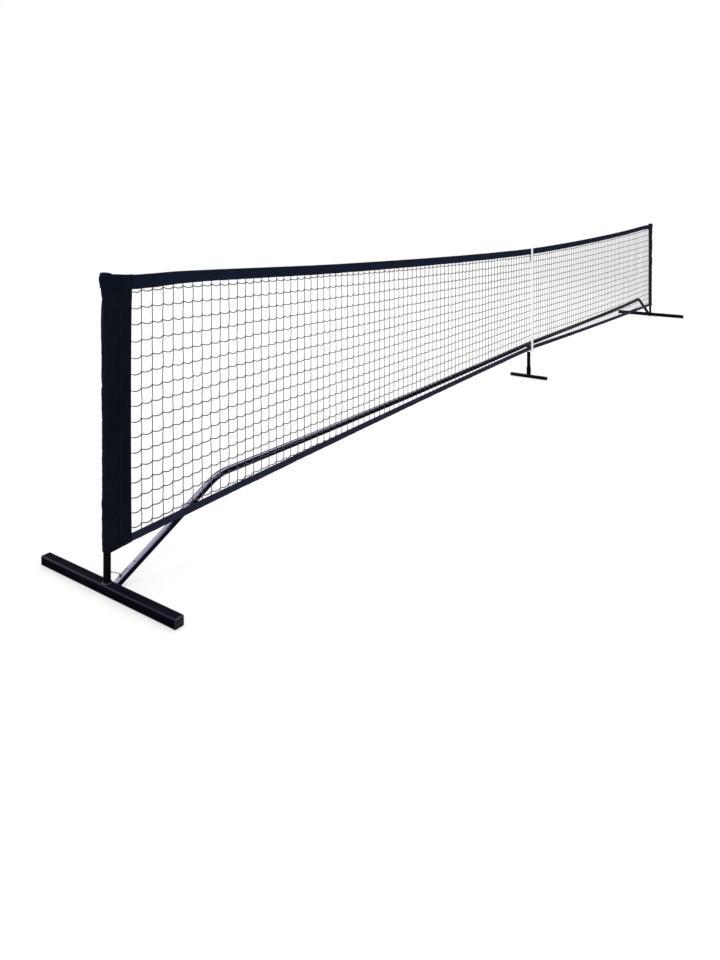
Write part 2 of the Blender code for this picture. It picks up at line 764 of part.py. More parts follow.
def sleeve(side, word):
    """The end sleeve below the band, and the closed pocket above it that hangs on the post's top."""
    seam = BAND_TOP_END - BAND_HEIGHT - POCKET_SEAM_DROP
    bottom = SLEEVE_BOTTOM[side]
    wrap = extruded(
        f"{word}_sleeve", wrap_outline(side, SLEEVE_RADIUS, SLEEVE_HALF, 0.0), bottom, seam - FIT, NAVY
    )
    boolean(wrap, post_bore(f"{word}_sleeve_bore", side, bottom - BORE_OVERRUN, seam + BORE_OVERRUN))
    pocket = extruded(
        f"{word}_band_pocket",
        wrap_outline(side, POCKET_RADIUS, HEM_RADIUS, POCKET_BULGE),
        seam,
        POCKET_TOP,
        NAVY,
    )
    low, high = sorted((side * (HALF_SPAN - POCKET_KNOB), side * (HALF_SPAN - 2 * SLEEVE_REACH)))
    over = POCKET_TOP + BORE_OVERRUN
    step = box_cutter(f"{word}_pocket_step", (low, -CUT_REACH, BAND_TOP_END), (high, CUT_REACH, over))
    boolean(pocket, step)
    roof = POCKET_TOP - POCKET_ROOF
    boolean(pocket, post_bore(f"{word}_pocket_bore", side, seam - BORE_OVERRUN, roof))


def webbing(name, path, spec):
    """Flat webbing along a (y, z) path over the middle of the net."""
    shape = bmesh.new()
    near = [shape.verts.new((-WEB_WIDTH / 2, y, z)) for y, z in path]
    far = [shape.verts.new((WEB_WIDTH / 2, y, z)) for y, z in path]
    for i in range(len(path) - 1):
        shape.faces.new((near[i], near[i + 1], far[i + 1], far[i]))
    mesh = bpy.data.meshes.new(name)
    shape.to_mesh(mesh)
    shape.free()
    obj = add_object(name, mesh, spec)
    skin = obj.modifiers.new("thickness", "SOLIDIFY")
    skin.thickness = WEB_THICK
    skin.offset = 0.0
    skin.use_even_offset = True
    return obj


def centre_strap():
    """The strap that hangs over the band and down the net's front."""
    half_loop = HEM_RADIUS + WEB_THICK / 2 + WEB_LOOSE
    centre = (NET_Y, band_top(WEB_WIDTH / 2) - HEM_RADIUS)
    top = arc(centre, half_loop, 180, 0, 8)
    path = [(NET_Y - half_loop, WEB_LOWER_END), *top]
    path.append((NET_Y + half_loop, centre[1] - WEB_BACK_LEG))
    webbing("centre_strap", path, WHITE)


def anchor_outline(radius, front):
    """Plan of the band: round behind the leg's socket, then straight to the front."""
    behind = arc((0.0, 0.0), radius, 0, 180, 10)
    return [*behind, (-radius, front), (radius, front)]


def strap_anchor():
    """The webbing loop round the leg's socket, with the flap that the strap's lower end sticks to."""
    flap_y = NET_Y - HEM_RADIUS - WEB_LOOSE - WEB_THICK * 1.5 - FIT
    inset = WEB_THICK * WEB_INSET_SHARE
    near, far = flap_y + WEB_THICK / 2 - inset, flap_y - WEB_THICK / 2 + inset
    top = ANCHOR_BOTTOM + ANCHOR_BAND
    outside = anchor_outline(ANCHOR_RADIUS + WEB_THICK, far)
    inside = anchor_outline(ANCHOR_RADIUS, near)
    loop = extruded("strap_anchor_loop", outside, ANCHOR_BOTTOM, top, WHITE)
    hole = extruded("anchor_hole", inside, ANCHOR_BOTTOM - WEB_THICK, top + WEB_THICK, None)
    boolean(loop, as_cutter(hole))
    low = (-WEB_WIDTH / 2, flap_y - WEB_THICK / 2, ANCHOR_BOTTOM - inset)
    high = (WEB_WIDTH / 2, flap_y + WEB_THICK / 2, ANCHOR_FLAP_TOP)
    boolean(loop, box_cutter("anchor_flap", low, high), "UNION")


clear_scene()
PARTS = collection("portable_pickleball_net")
CUTTERS = collection("cutters")

for side, word in SIDES_OF_NET:
    foot_assembly(side, word)
    bent_tube(side, word)
    straight_rails(side, word)
    shock_cord(side, word)
    tether(side, word)
    post(side, word)
    sleeve(side, word)
    snap_button(f"{word}_rail_button", rise_button_matrix(side), TUBE_RADIUS)
    snap_button(f"{word}_tee_button", tee_button_matrix(side), TUBE_RADIUS)

centre_support()
snap_button("centre_foot_button", centre_button_matrix(), SOCKET_RADIUS)

swept("top_band", band_section, NAVY)
swept("top_cord", cord_section, WHITE)
swept("net_mesh", mesh_section, BLACK)
swept("bottom_tape", tape_section, NAVY)
centre_strap()
strap_anchor()
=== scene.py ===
import json
import math

import bpy
import numpy as np
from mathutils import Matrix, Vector


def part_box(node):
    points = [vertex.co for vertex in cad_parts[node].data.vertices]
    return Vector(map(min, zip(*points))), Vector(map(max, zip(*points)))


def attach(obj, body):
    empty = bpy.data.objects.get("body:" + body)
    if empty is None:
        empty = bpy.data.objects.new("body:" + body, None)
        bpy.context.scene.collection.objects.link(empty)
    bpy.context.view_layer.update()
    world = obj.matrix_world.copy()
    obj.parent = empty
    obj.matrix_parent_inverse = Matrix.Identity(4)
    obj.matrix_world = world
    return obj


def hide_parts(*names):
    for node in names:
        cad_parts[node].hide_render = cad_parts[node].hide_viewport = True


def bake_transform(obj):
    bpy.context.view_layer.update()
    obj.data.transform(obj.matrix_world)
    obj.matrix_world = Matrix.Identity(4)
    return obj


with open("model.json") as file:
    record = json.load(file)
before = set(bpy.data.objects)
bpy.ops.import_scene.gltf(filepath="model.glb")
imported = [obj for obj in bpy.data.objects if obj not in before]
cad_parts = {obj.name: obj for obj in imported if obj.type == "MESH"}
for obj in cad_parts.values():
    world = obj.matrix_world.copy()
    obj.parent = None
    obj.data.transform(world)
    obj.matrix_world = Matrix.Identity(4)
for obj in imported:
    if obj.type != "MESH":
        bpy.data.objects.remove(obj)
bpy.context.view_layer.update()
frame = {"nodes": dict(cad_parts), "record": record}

SIDES = ((-1, "left"), (1, "right"))

# Mesh of the net
NET_ROWS = 16
NET_COLUMNS = 153
CELL_WIDTH = 0.0426
ROW_TWINE = 0.00175
COLUMN_TWINE = 0.00142
TWINE_SIDES = 6
TWINE_TUCK = 0.006  # length of twine sewn into the band, the tape and the sleeves
SEWN_IN_SHARE = 0.35  # of its thickness that the twine loses where it is sewn in
KNOT_RADIUS = 0.0026
KNOT_TILT = (0.7, 0.12)  # of a knot's turn of twine: to either side in turn, and its scatter
KNOT_LEAN = 0.0006  # along the net, to either side in turn
KNOT_SCATTER = (0.0005, 0.0008)  # along the net and up
CELL_SAG = 0.0058
CELL_SWAY = 0.0005
COLUMN_BOW = (0.0007, 0.0004)  # in a cell: to either side in turn, and its scatter
ROW_UNDER_BAND = 0.007
ROW_SHOULDER_SHARE = 0.8  # of the band's shoulder that the rows stay below
ROW_LIFT_AT_TAPE = (-0.008, 0.027)  # of the lowest row from the tape: mid net, and the gain to the posts
ROW_SPREAD = (-0.03, 0.13)  # of the rows towards the tape: at the middle, and the gain to the posts
ROW_WAVE = 0.0012
NET_BILLOW = 0.0016
NET_FORWARD = 0.0004

# Band and tape
BAND_HEIGHT = 0.0386
TAPE_HEIGHT = 0.0250
HEM_ROLL = 0.0035
BAND_SHOULDER = 0.0045  # how far the band stands above its even run beside each sleeve
SHOULDER_RISE = (2.2, 3.0)  # metres from the middle
SHOULDER_FALL = (3.07, 3.27)
FLARE_LENGTH = 0.35  # of the band's deeper ends
CLOTH_STEP = 0.006  # spacing of the cross-sections of band and tape
CLOTH_WAVE = 0.0006
CLOTH_EDGE_WAVE = 0.0007

# Stitching
HEM_STITCH_DROP = 0.0092
LOW_STITCH_RISE = 0.0052
TAPE_STITCH_DROP = 0.0036
STITCH_LENGTH = 0.0040
STITCH_GAP = 0.0022
STITCH_RADIUS = 0.00038
STITCH_SWAY = 0.00015
STITCH_SIDES = 5
STITCH_SPINE = (-0.5, -0.36, 0.36, 0.5)  # stations along a stitch, as shares of its length
STITCH_LIFT = (-0.6, 0.55, 0.55, -0.6)  # its height at them, in thread radii
STITCH_SIZE = (0.55, 1.0, 1.0, 0.55)  # its thickness at them

# End sleeves
SHEET_THICK = 0.0008
SHEET_COLUMNS = 64
SHEET_ROWS = 150
SLEEVE_FIT = 0.0009  # clearance of the cloth round the post
SLEEVE_SLACK = 0.0040  # its gain up the post
SLEEVE_TOP_SLACK = 0.0026  # a further gain close to the top
SLEEVE_BACK = (0.0128, 0.001)  # y of the cloth behind the post, and its gain to the top
SLEEVE_FORWARD = 0.0014  # of the front sheet from the mesh
SLEEVE_BEHIND = 0.0010
SLEEVE_DRAWN_IN = 0.0035  # how far the mesh's pull bows the inner edge towards the post
SLEEVE_TUCK = 0.011  # how far the sleeve runs up inside the corner pocket
POCKET_SEAM_REACH = 0.034  # from the post axis to the seam that closes the sleeve's post pocket
HEM_HEIGHT = 0.012
LAYER_GAP = 0.0009  # of the cloth from the mesh and from the post
BINDING = (0.0042, 0.0021, 0.0028)  # half width, half thickness, and how far its middle is from the edge
BINDING_SIDES = 16

# How the sleeve's sheet hangs
SIM_FRAMES = 26
SIM_LIMIT = 0.0045
SIM_POST_GAP = 0.0003
SIM_GRAVITY = 0.4
SIM_CLOTH = {
    "quality": 6, "mass": 0.12, "tension_stiffness": 25, "compression_stiffness": 18, "shear_stiffness": 8,
    "bending_stiffness": 0.35, "pin_stiffness": 1.0, "shrink_min": -0.018,
}
HELD_AT_EDGES, HELD_AT_SEAMS, HELD_AT_HEM = 1.0, 0.85, 0.35

# Corner pockets
POCKET_THICK = 0.0010
POCKET_RISE = 0.009  # how far the corner pocket's lower edge climbs from the band to the post
POCKET_COLUMNS = 72
POCKET_BULGE = (0.0212, 0.0043, -0.0045)  # round the post: at the bottom, its gain, and its gain at the top
POCKET_FRONT = (0.0034, 0.0008)  # forward of the mesh, and its gain at half height
POCKET_BACK = 0.0155
KNOB_DROP = {-1: 0.0010, 1: 0.0050}  # how far the cloth over each post is pulled down
BAND_LINE_DROP = 0.0075  # of the pocket's top beside the post
NOTCH = 0.0040

# Centre strap and its anchor
WEB_THICK = 0.0012
PATCH_THICK = 0.0005
STRAP_HANG = 0.0007
STRAP_BACK_LEG = 0.080
ANCHOR_BAND = 0.012

# Tethers
TETHER_RADIUS = 0.0012
TETHER_ARCH = 0.0022

# Studio
SWEEP_RANGE = (4.2, 7.5)  # metres from the middle over which the floor turns into the white sweep
SWEEP_SHARE = 0.45  # of the near floor, which keeps the contact shadows light
FLOOR_REACH = 60.0
DOME_LEVEL = 1.0
SOFTBOX_LEVEL = 6.0
ROOM_LEVEL = 0.02
SOFTBOX_TINT = (0.76, 0.75, 1.0)
SOFTBOX = ((-0.15, 0.42, 0.90), 0.27, 0.62)  # direction, and where its edge starts and ends
FLAG = ((0.58, 0.70, 0.42), 0.84, 0.93)  # a black panel that keeps the feet's tops dark

# Camera: a level view camera with a shifted lens, standing at the left end in front of the net
CAMERA_PLACE = (-4.7407, -1.7979, 1.1397)
CAMERA_TURN = -0.937  # from +Y, in radians
FOCAL_LENGTH = 28.02
LENS_SHIFT = (0.0408, -0.2883)
SHIFT_REACH = 0.05  # how far from this place the lens shift holds


# Frame measures


def smoothstep(low, high, value):
    t = np.clip((value - low) / (high - low), 0.0, 1.0)
    return t * t * (3 - 2 * t)


def middle(node):
    low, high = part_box(node)
    return (low + high) / 2


def no_lift(x):
    return 0.0 * x


class Edge:
    """Lowest and highest z of a long CAD node as functions of x, with any lift of its cloth."""

    def __init__(self, node, lift=no_lift):
        self.lift = lift
        co = np.array([v.co for v in frame["nodes"][node].data.vertices])
        self.x = np.unique(co[:, 0].round(4))
        near = [co[np.abs(co[:, 0] - x) < 0.0005, 2] for x in self.x]
        self.lows = np.array([z.min() for z in near])
        self.highs = np.array([z.max() for z in near])

    def low(self, x):
        return np.interp(x, self.x, self.lows) + self.lift(x)

    def high(self, x):
        return np.interp(x, self.x, self.highs) + self.lift(x)


def shoulder(x):
    reach = np.abs(x)
    return BAND_SHOULDER * smoothstep(*SHOULDER_RISE, reach) * (1 - smoothstep(*SHOULDER_FALL, reach))


BAND = Edge("top_band", shoulder)
TAPE = Edge("bottom_tape")
NET_Y = middle("net_mesh").y
NET_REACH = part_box("net_mesh")[1].x
POST_X = middle("right_post").x
POST_RADIUS = (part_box("right_post")[1].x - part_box("right_post")[0].x) / 2


# Mesh building


def lengths_along(path):
    """Distances from a path's start to each of its points."""
    return np.concatenate([[0.0], np.cumsum(np.linalg.norm(np.diff(path, axis=0), axis=1))])


def at_lengths(path, lengths, places):
    return np.stack([np.interp(places, lengths, path[:, k]) for k in range(path.shape[1])], axis=1)


def directions(path):
    along = np.gradient(path, axis=0)
    return along / np.linalg.norm(along, axis=1)[:, None]


class Skin:
    """Gathers grids of points into one mesh, with UVs in metres along and turns around."""

    def __init__(self):
        self.points = []
        self.faces = []
        self.uvs = []
        self.count = 0

    def grid(self, points, u, v, closed=False, flip=False):
        """points is rows x columns x 3; u holds a value for each column edge and v one for each row."""
        rows, columns, _ = points.shape
        wide = columns if closed else columns - 1
        r, c = np.meshgrid(np.arange(rows - 1), np.arange(wide), indexing="ij")
        r, c = r.ravel(), c.ravel()
        n = (c + 1) % columns
        corners = [(r, c, c), (r, n, c + 1), (r + 1, n, c + 1), (r + 1, c, c)]
        if flip:
            corners.reverse()
        u, v = np.asarray(u, float), np.asarray(v, float)
        index = np.stack([a * columns + b for a, b, _ in corners], axis=-1) + self.count
        uv = np.stack([np.stack([u[e], v[a]], axis=-1) for a, _, e in corners], axis=1)
        self.faces.extend(index.tolist())
        self.uvs.append(uv.reshape(-1, 2))
        self.points.append(points.reshape(-1, 3))
        self.count += rows * columns

    def lid(self, first, count, u, v, flip=False):
        """Closes a ring of count points, the first of which is at index first."""
        ring = list(range(first, first + count))
        if flip:
            ring.reverse()
        self.faces.append(ring)
        self.uvs.append(np.full((count, 2), (u, v)))

    def closed_grid(self, points, u, v, flip=False, lid_u=0.0, lid_v=(0.0, 0.0)):
        """A grid whose rows are rings, with a lid on the first and on the last."""
        first, around = self.count, points.shape[1]
        self.grid(points, u, v, closed=True, flip=flip)
        self.lid(first, around, lid_u, lid_v[0], flip=not flip)
        self.lid(self.count - around, around, lid_u, lid_v[1], flip=flip)

    def tube(self, path, radius, across, sides=TWINE_SIDES, squash=1.0):
        """A round or oval cord along path; across is a direction that is never along it."""
        path = np.asarray(path, float)
        along = directions(path)
        side = np.asarray(across, float) - (along @ np.asarray(across, float))[:, None] * along
        side /= np.linalg.norm(side, axis=1)[:, None]
        up = np.cross(along, side)
        turn = np.arange(sides) * math.tau / sides
        radius = np.broadcast_to(np.asarray(radius, float), (len(path),))[:, None, None]
        ring = side[:, None] * (squash * np.cos(turn))[:, None] + up[:, None] * np.sin(turn)[:, None]
        lengths = lengths_along(path)
        around = np.arange(sides + 1) / sides
        self.closed_grid(path[:, None] + radius * ring, around, lengths, lid_u=0.5, lid_v=lengths[[0, -1]])

    def object(self, name, material):
        mesh = bpy.data.meshes.new(name)
        mesh.from_pydata(np.concatenate(self.points).tolist(), [], self.faces)
        layer = mesh.uv_layers.new(name="metres")
        layer.data.foreach_set("uv", np.concatenate(self.uvs).ravel())
        mesh.polygons.foreach_set("use_smooth", [True] * len(mesh.polygons))
        mesh.materials.append(material)
        mesh.update()
        obj = bpy.data.objects.new(name, mesh)
        bpy.context.scene.collection.objects.link(obj)
        return obj

    def piece(self, name, material, body, slot, stands_for=None):
        """The object, with its body and the CAD node it stands for; slot is not used."""
        made = self.object(name, material)
        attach(made, body)
        if stands_for:
            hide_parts(stands_for)
        return made


def ripple(x, y, seed, wavelengths, slant=0.6):
    """A smooth, repeatable unevenness of about -1 to 1, made of slanted waves."""
    draw = np.random.default_rng(seed)
    total = np.zeros(np.broadcast(x, y).shape)
    for length in wavelengths:
        phase, turn = draw.uniform(0, math.tau), draw.uniform(-slant, slant)
        swell = draw.uniform(0, math.tau)
        envelope = 0.6 + 0.4 * np.sin(math.tau * x / (length * 6.3) + swell)
        total += envelope * np.sin(math.tau * (x + turn * y) / length + phase)
    return total / math.sqrt(len(wavelengths))


def cut_path(path, pitch):
    """Points at an even pitch along a path, and the unit directions there."""
    path = np.asarray(path, float)
    lengths = lengths_along(path)
    places = np.arange(pitch / 2, lengths[-1] - pitch / 2, pitch)
    points = at_lengths(path, lengths, places)
    along = at_lengths(path, lengths, places + pitch / 8) - points
    along /= np.linalg.norm(along, axis=1)[:, None]
    return points, along


def stitches(skin, path, outward, length=STITCH_LENGTH, gap=STITCH_GAP, radius=STITCH_RADIUS):
    """A row of thread stitches lying on a surface; outward is the surface's normal at the row."""
    points, along = cut_path(path, length + gap)
    out = np.asarray(outward, float)
    turn = np.arange(STITCH_SIDES) * math.tau / STITCH_SIDES
    around = np.arange(STITCH_SIDES + 1) / STITCH_SIDES
    for number, (point, way) in enumerate(zip(points, along)):
        side = np.cross(way, out)
        sway = side * STITCH_SWAY * math.sin(number * 2.4)
        rings = [
            point + sway + way * length * place + out * radius * lift
            + radius * size * (np.cos(turn)[:, None] * side + np.sin(turn)[:, None] * out)
            for place, lift, size in zip(STITCH_SPINE, STITCH_LIFT, STITCH_SIZE)
        ]
        skin.closed_grid(np.array(rings), around, np.array(STITCH_SPINE) * length, flip=True, lid_u=0.5)


# Materials


class Graph:
    """A short way to write a material's nodes."""

    def __init__(self, name):
        self.material = bpy.data.materials.new(name)
        self.material.use_nodes = True
        self.tree = self.material.node_tree
        self.shader = self.tree.nodes["Principled BSDF"]

    @classmethod
    def of_tree(cls, tree):
        made = cls.__new__(cls)
        made.tree = tree
        return made

    def add(self, kind, inputs=None, **settings):
        made = self.tree.nodes.new(kind)
        for key, value in settings.items():
            setattr(made, key, value)
        for key, value in (inputs or {}).items():
            self.put(made.inputs[key], value)
        return made

    def put(self, socket, value):
        if isinstance(value, bpy.types.NodeSocket):
            self.tree.links.new(value, socket)
        elif isinstance(value, tuple) and len(value) == 3 and socket.type == "RGBA":
            socket.default_value = (*value, 1.0)
        else:
            socket.default_value = value

    def math(self, operation, a, b=0.0, c=0.0):
        made = self.add("ShaderNodeMath", operation=operation)
        for socket, value in zip(made.inputs, (a, b, c)):
            self.put(socket, value)
        return made.outputs[0]

    def noise(self, place, scale, detail=3.0, roughness=0.5):
        inputs = {"Vector": place, "Scale": scale, "Detail": detail, "Roughness": roughness}
        return self.add("ShaderNodeTexNoise", inputs).outputs["Fac"]

    def remap(self, value, low, high, to_low, to_high):
        inputs = {0: value, 1: low, 2: high, 3: to_low, 4: to_high}
        return self.add("ShaderNodeMapRange", inputs).outputs[0]

    def mix(self, share, a, b):
        made = self.add("ShaderNodeMix", data_type="RGBA")
        for key, value in ((0, share), (6, a), (7, b)):
            self.put(made.inputs[key], value)
        return made.outputs[2]

    def bump(self, height, strength, distance, under=None):
        made = self.add("ShaderNodeBump", {"Height": height, "Strength": strength, "Distance": distance})
        if under:
            self.put(made.inputs["Normal"], under)
        return made.outputs[0]

    def place(self):
        return self.add("ShaderNodeTexCoord").outputs["Object"]

    def metres(self):
        uv = self.add("ShaderNodeUVMap", uv_map="metres").outputs[0]
        split = self.add("ShaderNodeSeparateXYZ", {0: uv})
        return split.outputs[0], split.outputs[1]

    def shade(self, **inputs):
        for key, value in inputs.items():
            self.put(self.shader.inputs[key.replace("_", " ")], value)
        return self.material


def black_paint(name, dark, light, rough, coat, level):
    """Black powder coat: fine orange peel, some clear gloss, faint rubs and dust."""
    g = Graph(name)
    place = g.place()
    blotch = g.noise(place, 14.0, 4.0)
    rub = g.remap(g.noise(place, 55.0, 6.0, 0.65), 0.60, 0.72, 0.0, 1.0)
    fleck = g.remap(g.noise(place, 900.0, 2.0), 0.70, 0.76, 0.0, 0.5)
    base = g.mix(blotch, dark, light)
    base = g.mix(g.math("MULTIPLY", rub, 0.25), base, tuple(c * 2.5 + 0.004 for c in light))
    base = g.mix(g.math("MULTIPLY", fleck, 0.15), base, (0.06, 0.06, 0.07))
    spread = g.math("ADD", g.remap(blotch, 0.3, 0.7, rough, rough + 0.08), g.math("MULTIPLY", rub, 0.20))
    peel = g.bump(g.noise(place, 420.0, 2.0), 0.10, 0.0004)
    peel = g.bump(g.noise(place, 2400.0, 2.0), 0.05, 0.0002, peel)
    return g.shade(
        Base_Color=base, Roughness=spread, Normal=peel, Specular_IOR_Level=level,
        Coat_Weight=coat, Coat_Roughness=0.10, Coat_IOR=1.5,
    )


def weld_paint():
    """The same coat over a weld: thicker, with a rougher run of the bead under it and painted shade between
    its raised spatter.
    """
    g = Graph("painted_weld")
    place = g.place()
    spatter = g.noise(place, 700.0, 4.0, 0.6)
    # Painted shade: darker between the raised spatter and lighter on it, from the same noise as the bump.
    base = g.mix(spatter, (0.003, 0.003, 0.006), (0.010, 0.010, 0.016))
    return g.shade(
        Base_Color=base, Roughness=g.remap(spatter, 0.3, 0.7, 0.28, 0.45),
        Normal=g.bump(spatter, 0.30, 0.0005), Coat_Weight=0.10, Coat_Roughness=0.20, Specular_IOR_Level=0.25,
    )


def moulded_plastic():
    g = Graph("black_moulded_plastic")
    place = g.place()
    grain = g.noise(place, 1600.0, 2.0)
    scuff = g.remap(g.noise(place, 60.0, 5.0, 0.7), 0.55, 0.75, 0.0, 0.6)
    base = g.mix(scuff, (0.014, 0.014, 0.016), (0.050, 0.050, 0.052))
    return g.shade(
        Base_Color=base, Roughness=g.remap(scuff, 0.0, 0.6, 0.42, 0.62), Normal=g.bump(grain, 0.35, 0.0003)
    )


def zinc_plate():
    g = Graph("zinc_plate")
    place = g.place()
    turning = g.add("ShaderNodeTexWave", {"Vector": place, "Scale": 900.0, "Distortion": 1.5}).outputs["Fac"]
    haze = g.noise(place, 240.0, 4.0)
    base = g.mix(haze, (0.15, 0.15, 0.17), (0.30, 0.29, 0.28))
    return g.shade(
        Base_Color=base, Metallic=1.0, Roughness=g.remap(haze, 0.3, 0.7, 0.26, 0.44),
        Normal=g.bump(turning, 0.12, 0.0002),
    )


def plain_weave(g, along, around, pitch):
    """Height of a plain weave, 0 to 1: threads that pass over and under in turn."""
    across = g.math("MULTIPLY", along, math.pi / pitch)
    down = g.math("MULTIPLY", around, math.pi / pitch)
    over = g.math("MULTIPLY", g.math("SINE", across), g.math("SINE", down))
    warp = g.math("ABSOLUTE", g.math("COSINE", across))
    weft = g.math("ABSOLUTE", g.math("COSINE", down))
    over = g.remap(over, -0.25, 0.25, 0.0, 1.0)
    lower = g.math("MULTIPLY", warp, g.math("SUBTRACT", 1.0, over))
    return g.math("ADD", lower, g.math("MULTIPLY", weft, over))


def woven_cloth(name, dark, light, pitch=0.0007, sheen=0.02, wear=0.35):
    """Dyed polyester: plain weave with painted shade in its hollows, slubs, lighter rubbed places and a
    little lint.
    """
    g = Graph(name)
    place = g.place()
    u, v = g.metres()
    weave = plain_weave(g, u, v, pitch)
    cloud = g.noise(place, 9.0, 5.0, 0.6)
    drawn_out = g.add("ShaderNodeMapping", {"Vector": place, "Scale": (60.0, 60.0, 3.0)})
    streak = g.noise(drawn_out.outputs[0], 5.0)
    tone = g.math("ADD", g.math("MULTIPLY", cloud, 0.7), g.math("MULTIPLY", streak, 0.3))
    tone = g.remap(tone, 0.32, 0.68, 0.0, 1.0)
    base = g.mix(tone, dark, light)
    # Painted shade: the hollows between the woven threads are darkened.
    hollow = g.math("MULTIPLY", g.math("SUBTRACT", 1.0, weave), 0.55)
    base = g.mix(hollow, base, tuple(c * 0.35 for c in dark))
    rub = g.remap(g.noise(place, 38.0, 6.0, 0.7), 0.60, 0.74, 0.0, wear)
    base = g.mix(g.math("MULTIPLY", rub, weave), base, tuple(c * 2.2 + 0.004 for c in light))
    lint = g.remap(g.noise(place, 1300.0, 1.0), 0.76, 0.80, 0.0, 0.5)
    base = g.mix(lint, base, (0.10, 0.10, 0.115))
    crease = g.bump(g.noise(place, 70.0, 3.0), 0.25, 0.0012)
    return g.shade(
        Base_Color=base, Roughness=g.remap(weave, 0.0, 1.0, 0.92, 0.70),
        Normal=g.bump(weave, 0.55, 0.00035, crease),
        Sheen_Weight=sheen, Sheen_Roughness=0.45, Sheen_Tint=(0.62, 0.68, 1.0), Specular_IOR_Level=0.02,
    )


def twisted_twine(name, dark, light, strands=3.0, pitch=0.009, rough=0.62, strength=0.8):
    """Twisted cord: strands wind round it, with painted shade in the grooves between them and the dye uneven
    along its length.
    """
    g = Graph(name)
    turn, along = g.metres()
    wind = g.math("ADD", g.math("MULTIPLY", turn, math.tau), g.math("MULTIPLY", along, math.tau / pitch))
    strand = g.math("ABSOLUTE", g.math("SINE", g.math("MULTIPLY", wind, strands / 2)))
    fibre = g.math("ABSOLUTE", g.math("SINE", g.math("MULTIPLY", along, 5200.0)))
    place = g.place()
    tone = g.noise(place, 120.0, 4.0)
    base = g.mix(tone, dark, light)
    # Painted shade: the grooves between the strands are darkened.
    base = g.mix(g.math("MULTIPLY", g.math("SUBTRACT", 1.0, strand), 0.7), base, tuple(c * 0.3 for c in dark))
    height = g.math("ADD", strand, g.math("MULTIPLY", fibre, 0.12))
    return g.shade(
        Base_Color=base, Roughness=rough, Normal=g.bump(height, strength, 0.0005), Specular_IOR_Level=0.2
    )


def white_webbing():
    """Herringbone webbing with soft grey shading in its rows and light soiling."""
    g = Graph("white_herringbone_webbing")
    u, v = g.metres()
    place = g.place()
    bend = g.math("PINGPONG", u, 0.004)
    slant = g.math("SINE", g.math("MULTIPLY", g.math("ADD", bend, v), math.tau / 0.0016))
    row = g.math("ABSOLUTE", g.math("SINE", g.math("MULTIPLY", u, math.pi / 0.0011)))
    herring = g.math("MULTIPLY", g.remap(slant, -1.0, 1.0, 0.0, 1.0), 0.6)
    weave = g.math("ADD", herring, g.math("MULTIPLY", row, 0.4))
    soil = g.remap(g.noise(place, 26.0, 6.0, 0.65), 0.45, 0.75, 0.0, 0.6)
    base = g.mix(weave, (0.66, 0.67, 0.70), (0.90, 0.90, 0.90))
    base = g.mix(g.math("MULTIPLY", soil, 0.25), base, (0.60, 0.58, 0.53))
    return g.shade(
        Base_Color=base, Roughness=0.78, Normal=g.bump(weave, 0.6, 0.0004), Sheen_Weight=0.2
    )


def loop_pile():
    """The soft side of a hook-and-loop tape, with painted shade in the low places of its pile."""
    g = Graph("white_loop_pile")
    place = g.place()
    pile = g.noise(place, 1500.0, 4.0, 0.7)
    # Painted shade: the noise that sets the pile's height also greys its low places.
    base = g.mix(pile, (0.60, 0.60, 0.62), (0.90, 0.90, 0.90))
    return g.shade(Base_Color=base, Roughness=0.95, Normal=g.bump(pile, 0.9, 0.0010), Sheen_Weight=0.6)


def floor_finish():
    """A pale studio floor that runs out into an even white sweep."""
    g = Graph("pale_floor")
    place = g.place()
    speck = g.noise(place, 3.0, 5.0)
    base = g.mix(speck, (0.93, 0.93, 0.93), (0.96, 0.96, 0.96))
    distance = g.add("ShaderNodeVectorMath", {0: place}, operation="LENGTH").outputs["Value"]
    far = g.remap(distance, *SWEEP_RANGE, SWEEP_SHARE, 1.0)
    g.shade(Base_Color=base, Roughness=0.85, Specular_IOR_Level=0.1)
    sweep = g.add("ShaderNodeEmission", {"Color": (1.0, 1.0, 1.0), "Strength": 1.0})
    blend = g.add("ShaderNodeMixShader", {0: far, 1: g.shader.outputs[0], 2: sweep.outputs[0]})
    g.put(g.tree.nodes["Material Output"].inputs["Surface"], blend.outputs[0])
    return g.material


RAIL_PAINT = black_paint(
    "gloss_rail_paint", (0.0012, 0.0012, 0.0058), (0.0026, 0.0025, 0.0100), rough=0.16, coat=0.8, level=0.6
)
FOOT_PAINT = black_paint(
    "satin_foot_paint", (0.0006, 0.0007, 0.0018), (0.0015, 0.0015, 0.0034), rough=0.34, coat=0.01, level=0.06
)
POST_PAINT = black_paint(
    "satin_post_paint", (0.0022, 0.0023, 0.0027), (0.0036, 0.0036, 0.0040), rough=0.32, coat=0.01, level=0.08
)
WELD = weld_paint()
PLASTIC = moulded_plastic()
ZINC = zinc_plate()
BAND_CLOTH = woven_cloth("navy_band_cloth", (0.0040, 0.0074, 0.0190), (0.0078, 0.0125, 0.0270))
# Painted shade: a darker copy of the band's navy cloth, which shows the corner pockets in shade.
SHADED_POCKET_CLOTH = woven_cloth("shaded_navy_pocket_cloth", (0.0026, 0.0044, 0.0110), (0.0052, 0.0078, 0.0165))
SLEEVE_CLOTH = woven_cloth("navy_sleeve_cloth", (0.0026, 0.0036, 0.0066), (0.0056, 0.0072, 0.0125), 0.0009)
TAPE_CLOTH = woven_cloth("slate_tape_cloth", (0.0110, 0.0130, 0.0255), (0.0195, 0.0225, 0.0430), 0.0006, 0.03)
SEWING = twisted_twine("navy_sewing_thread", (0.010, 0.013, 0.024), (0.026, 0.030, 0.046), 2.0, 0.0016, 0.55)
WHITE_SEWING = twisted_twine("white_sewing_thread", (0.62, 0.62, 0.64), (0.85, 0.85, 0.86), 2.0, 0.0016, 0.6)
TWINE = twisted_twine("charcoal_net_twine", (0.034, 0.035, 0.038), (0.074, 0.075, 0.080))
